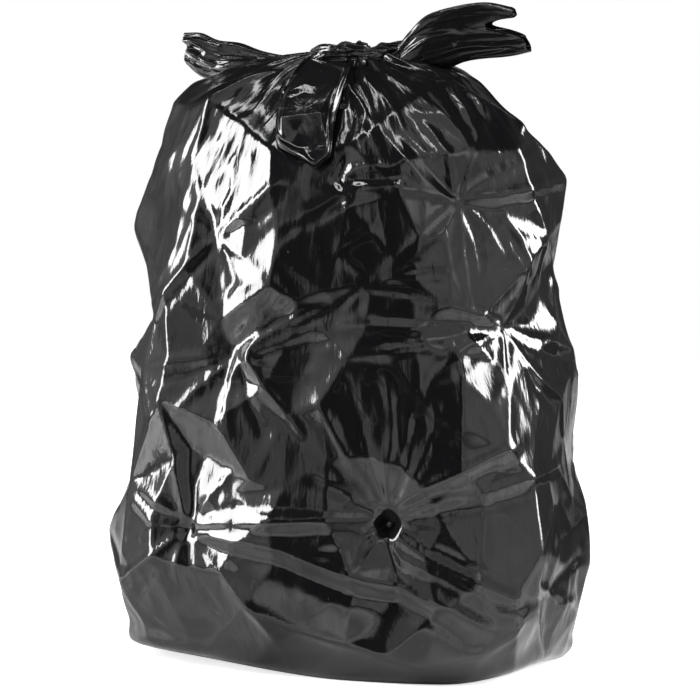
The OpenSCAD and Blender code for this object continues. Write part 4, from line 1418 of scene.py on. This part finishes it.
def calculate(tree, operation, *values, clamp=False):
    """One sum, product or other operation on numbers and sockets."""
    inputs = dict(enumerate(values))
    return add_node(tree, "Math", inputs, operation=operation, use_clamp=clamp).outputs[0]


# %% Film material
BLACK, DUST = (0.004, 0.004, 0.0045, 1), (0.16, 0.16, 0.16, 1)
FILM_IOR = 1.5


def film_material():
    """A near-black gloss with three sizes of crinkle on the film map, patchy roughness and a few
    specks of pale dust."""
    material = bpy.data.materials.new("black_film")
    material.use_nodes = True
    tree = material.node_tree
    shader = tree.nodes["Principled BSDF"]
    shader.inputs["IOR"].default_value = FILM_IOR
    film_map = add_node(tree, "UVMap", {}, uv_map="film_map").outputs["UV"]

    def stretched(x, y):
        return add_node(tree, "Mapping", {"Vector": film_map, "Scale": (x, y, 1)}).outputs["Vector"]

    def noise(scale, stretch, detail, distortion=0.0):
        return add_node(tree, "TexNoise", {
            "Vector": stretched(*stretch), "Scale": scale, "Detail": detail, "Distortion": distortion,
        }).outputs["Fac"]

    def cells(scale, stretch):
        inputs = {"Vector": stretched(*stretch), "Scale": scale}
        return add_node(tree, "TexVoronoi", inputs, feature="DISTANCE_TO_EDGE").outputs["Distance"]

    def bump(height, distance, strength, **below):
        return add_node(tree, "Bump", {
            "Height": height, "Distance": distance, "Strength": strength, **below,
        }).outputs["Normal"]

    normal = bump(noise(60, (1.6, 0.5), 3, 0.4), 0.0008, 0.6)
    normal = bump(cells(70, (1.5, 0.45)), 0.0003, 0.5, Normal=normal)
    normal = bump(noise(420, (1, 0.7), 2), 0.00008, 0.5, Normal=normal)
    tree.links.new(normal, shader.inputs["Normal"])
    patches = ramp(tree, noise(14, (1, 1), 5, 0.6), 0.35, 0.7, 0.07, 0.17)
    tree.links.new(patches, shader.inputs["Roughness"])
    specks = ramp(tree, noise(430, (1, 0.4), 3, 0.5), 0.7, 0.85, 0, 0.5)
    dusty = add_node(tree, "Mix", {"Factor": specks, "A": BLACK, "B": DUST}, data_type="RGBA")
    tree.links.new(dusty.outputs["Result"], shader.inputs["Base Color"])
    return material


black_film = film_material()
for piece in [bag_film, hanging_loop, *knot_pieces, *ears]:
    piece.data.materials.append(black_film)
    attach(piece, "root")
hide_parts("bag")
print("dressed", 2 + len(knot_pieces) + len(ears), "pieces in film")

# %% [markdown]
# Floor, surroundings and lamps
#
# Black gloss shows nothing of its own, so what stands around it makes the picture: two bright
# windows, one on each side and a little above, and between them a room that is pale near the
# horizon, dark in front, dark above, and uneven all over, because an even one gives flat greys
# with hard edges. The lamps are soft boxes with the size and the place of those windows, and a
# narrow strip high in front, which draws thin bright lines on the shoulders and the knot. The
# camera sees plain white behind the bag.

# %% Floor
# Painted shade on the floor, standing for unlit floor that the film mirrors: middle, dark within, pale
# beyond
PAINTED_SHADE_PATCHES = [((0.2, -2.1, 0), 0.7, 1.7), ((1.0, 1.2, 0), 0.7, 1.3)]
FLOOR_SIZE = 8


def make_floor():
    """A large pale square under the bag. Its colour is uneven, and it has two patches of painted
    shade, in front and behind on the right, standing for unlit floor that the film mirrors. For the
    camera it glows white, a little less near the bag, so that the bag's shadow shows there."""
    side = FLOOR_SIZE / 2
    mesh = bpy.data.meshes.new("floor")
    corners = [(-side, -side, 0), (side, -side, 0), (side, side, 0), (-side, side, 0)]
    mesh.from_pydata(corners, [], [(0, 1, 2, 3)])
    floor = add_object("floor", mesh)
    material = bpy.data.materials.new("pale_floor")
    material.use_nodes = True
    tree = material.node_tree
    shader = tree.nodes["Principled BSDF"]
    shader.inputs["Roughness"].default_value = 0.9
    shader.inputs["Specular IOR Level"].default_value = 0.1
    shader.inputs["Emission Color"].default_value = (1, 1, 1, 1)
    place = add_node(tree, "TexCoord", {}).outputs["Object"]
    shade = 1
    # Painted shade: the floor colour is darkened in two patches, in front and behind on the right,
    # standing for floor that no lamp lights
    for middle, dark_within, pale_beyond in PAINTED_SHADE_PATCHES:
        away = add_node(tree, "VectorMath", {0: place, 1: middle}, operation="DISTANCE")
        pale = ramp(tree, away.outputs["Value"], dark_within, pale_beyond, 0.04, 1.1,
                    interpolation_type="SMOOTHSTEP")
        shade = calculate(tree, "MULTIPLY", shade, pale)
    patchy = add_node(tree, "TexNoise", {"Vector": place, "Scale": 6}).outputs["Fac"]
    shade = calculate(tree, "MULTIPLY", shade, ramp(tree, patchy, 0.35, 0.65, 0.4, 0.95))
    tree.links.new(shade, shader.inputs["Base Color"])
    from_bag = add_node(tree, "VectorMath", {0: place}, operation="LENGTH").outputs["Value"]
    glow = ramp(tree, from_bag, 0.4, 1.2, 0.72, 1.0)
    seen = add_node(tree, "LightPath", {}).outputs["Is Camera Ray"]
    tree.links.new(calculate(tree, "MULTIPLY", glow, seen), shader.inputs["Emission Strength"])
    mesh.materials.append(material)
    floor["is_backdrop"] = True
    print("floor", FLOOR_SIZE, "m square")


make_floor()


# %% Surroundings
def make_world():
    """White for the camera, and for gloss that mirrors the backdrop behind the bag. Everything
    else meets the room: pale x (1 - dark in front) x (1 - dark above), less behind the bag and
    on its right, uneven, and with a brighter wall high in front on the right."""
    world = bpy.data.worlds.new("studio")
    world.use_nodes = True
    bpy.context.scene.world = world
    tree = world.node_tree
    tree.nodes.clear()

    def plus(a, b):
        return calculate(tree, "ADD", a, b)

    def minus(a, b):
        return calculate(tree, "SUBTRACT", a, b)

    def times(a, b):
        return calculate(tree, "MULTIPLY", a, b)

    def slope(value, start, rate):
        """0 up to the start, then rising at the rate, up to 1. A negative rate falls to 0."""
        return calculate(tree, "MULTIPLY", minus(value, start), rate, clamp=True)

    way = add_node(tree, "TexCoord", {}).outputs["Generated"]
    x, y, z = add_node(tree, "SeparateXYZ", {0: way}).outputs
    level = calculate(tree, "SQRT", minus(1.0001, times(z, z)))

    def toward(azimuth):
        """Cosine of the angle, seen from above, between a direction and an azimuth."""
        a = math.radians(azimuth)
        across = plus(times(x, math.sin(a)), times(y, -math.cos(a)))
        return calculate(tree, "DIVIDE", across, level)

    dark_front = times(slope(toward(-5), 0.93, 22), slope(z, 0.66, -6))
    # The dark begins 27 degrees up, but far higher in front on the right
    begins = plus(0.45, times(slope(toward(25), 0.69, 8), 0.48))
    lit = times(minus(1, dark_front), minus(1, slope(z, begins, 4)))
    # Film seen at a slant mirrors more: 1 + 24 (1 - cos of the slant)^5 times as much. What it
    # mirrors there lies behind the bag, and is darker by as much
    slant = calculate(tree, "SQRT", times(plus(1, toward(CAMERA_AZIMUTH)), 0.5))
    gain = times(calculate(tree, "POWER", minus(1, slant), 5), 24)
    lit = calculate(tree, "DIVIDE", lit, plus(1, gain))
    lit = times(lit, minus(1, times(slope(toward(152), 0.9, 14), 0.75)))
    uneven = add_node(tree, "TexNoise", {"Vector": way, "Scale": 2.6, "Detail": 3}).outputs["Fac"]
    lit = times(lit, plus(0.45, times(slope(uneven, 0.3, 2.6), 0.8)))
    pale_wall = times(times(slope(toward(58), 0.88, 9), slope(z, 0.42, 7)), slope(z, 0.8, -7))
    room = plus(plus(0.03, lit), times(pale_wall, 1.3))
    # The white backdrop, 15 degrees to each side of what the camera faces
    backdrop = plus(times(x, -0.34), times(y, 0.94))
    backdrop = calculate(tree, "GREATER_THAN", backdrop, 0.966)
    rays = add_node(tree, "LightPath", {}).outputs
    white = calculate(tree, "MAXIMUM", rays["Is Camera Ray"], rays["Is Transmission Ray"])
    white = calculate(tree, "MAXIMUM", white, times(rays["Is Glossy Ray"], backdrop))
    strength = calculate(tree, "MAXIMUM", room, white)
    background = add_node(tree, "Background", {"Color": (1, 1, 1, 1), "Strength": strength})
    add_node(tree, "OutputWorld", {"Surface": background.outputs[0]})
    print("room of", len(tree.nodes), "nodes")


make_world()


# %% Lamps
BAG_MIDDLE = 0.35


def soft_box(name, azimuth, elevation, width, height, radiance, distance=1.9):
    """A rectangular lamp aimed at the bag's middle, as wide and high in degrees as given. Its
    power = radiance x pi x area."""
    way = Vector(direction(azimuth, elevation))
    data = bpy.data.lights.new(name, "AREA")
    data.shape = "RECTANGLE"
    data.size = 2 * distance * math.tan(math.radians(width / 2))
    data.size_y = 2 * distance * math.tan(math.radians(height / 2))
    data.energy = radiance * math.pi * data.size * data.size_y
    lamp = add_object(name, data)
    lamp.location = Vector((0, 0, BAG_MIDDLE)) + way * distance
    lamp.rotation_euler = (-way).to_track_quat("-Z", "Y").to_euler()
    print(name, round(data.energy, 1), "W")


soft_box("left_window", *LEFT_WINDOW, 24, 46, 20)
soft_box("right_window", *RIGHT_WINDOW, 22, 40, 20)
soft_box("high_strip", -25, 74, 40, 5, 11)

bpy.context.scene.view_settings.view_transform = "Standard"

# %% The sizes and finish
visual_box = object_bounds()
({name: [[float(x) for x in corner] for corner in box]
           for name, box in (("cad", cad_box), ("visual", visual_box))})
print("visual box:", [[round(float(x), 3) for x in corner] for corner in visual_box])
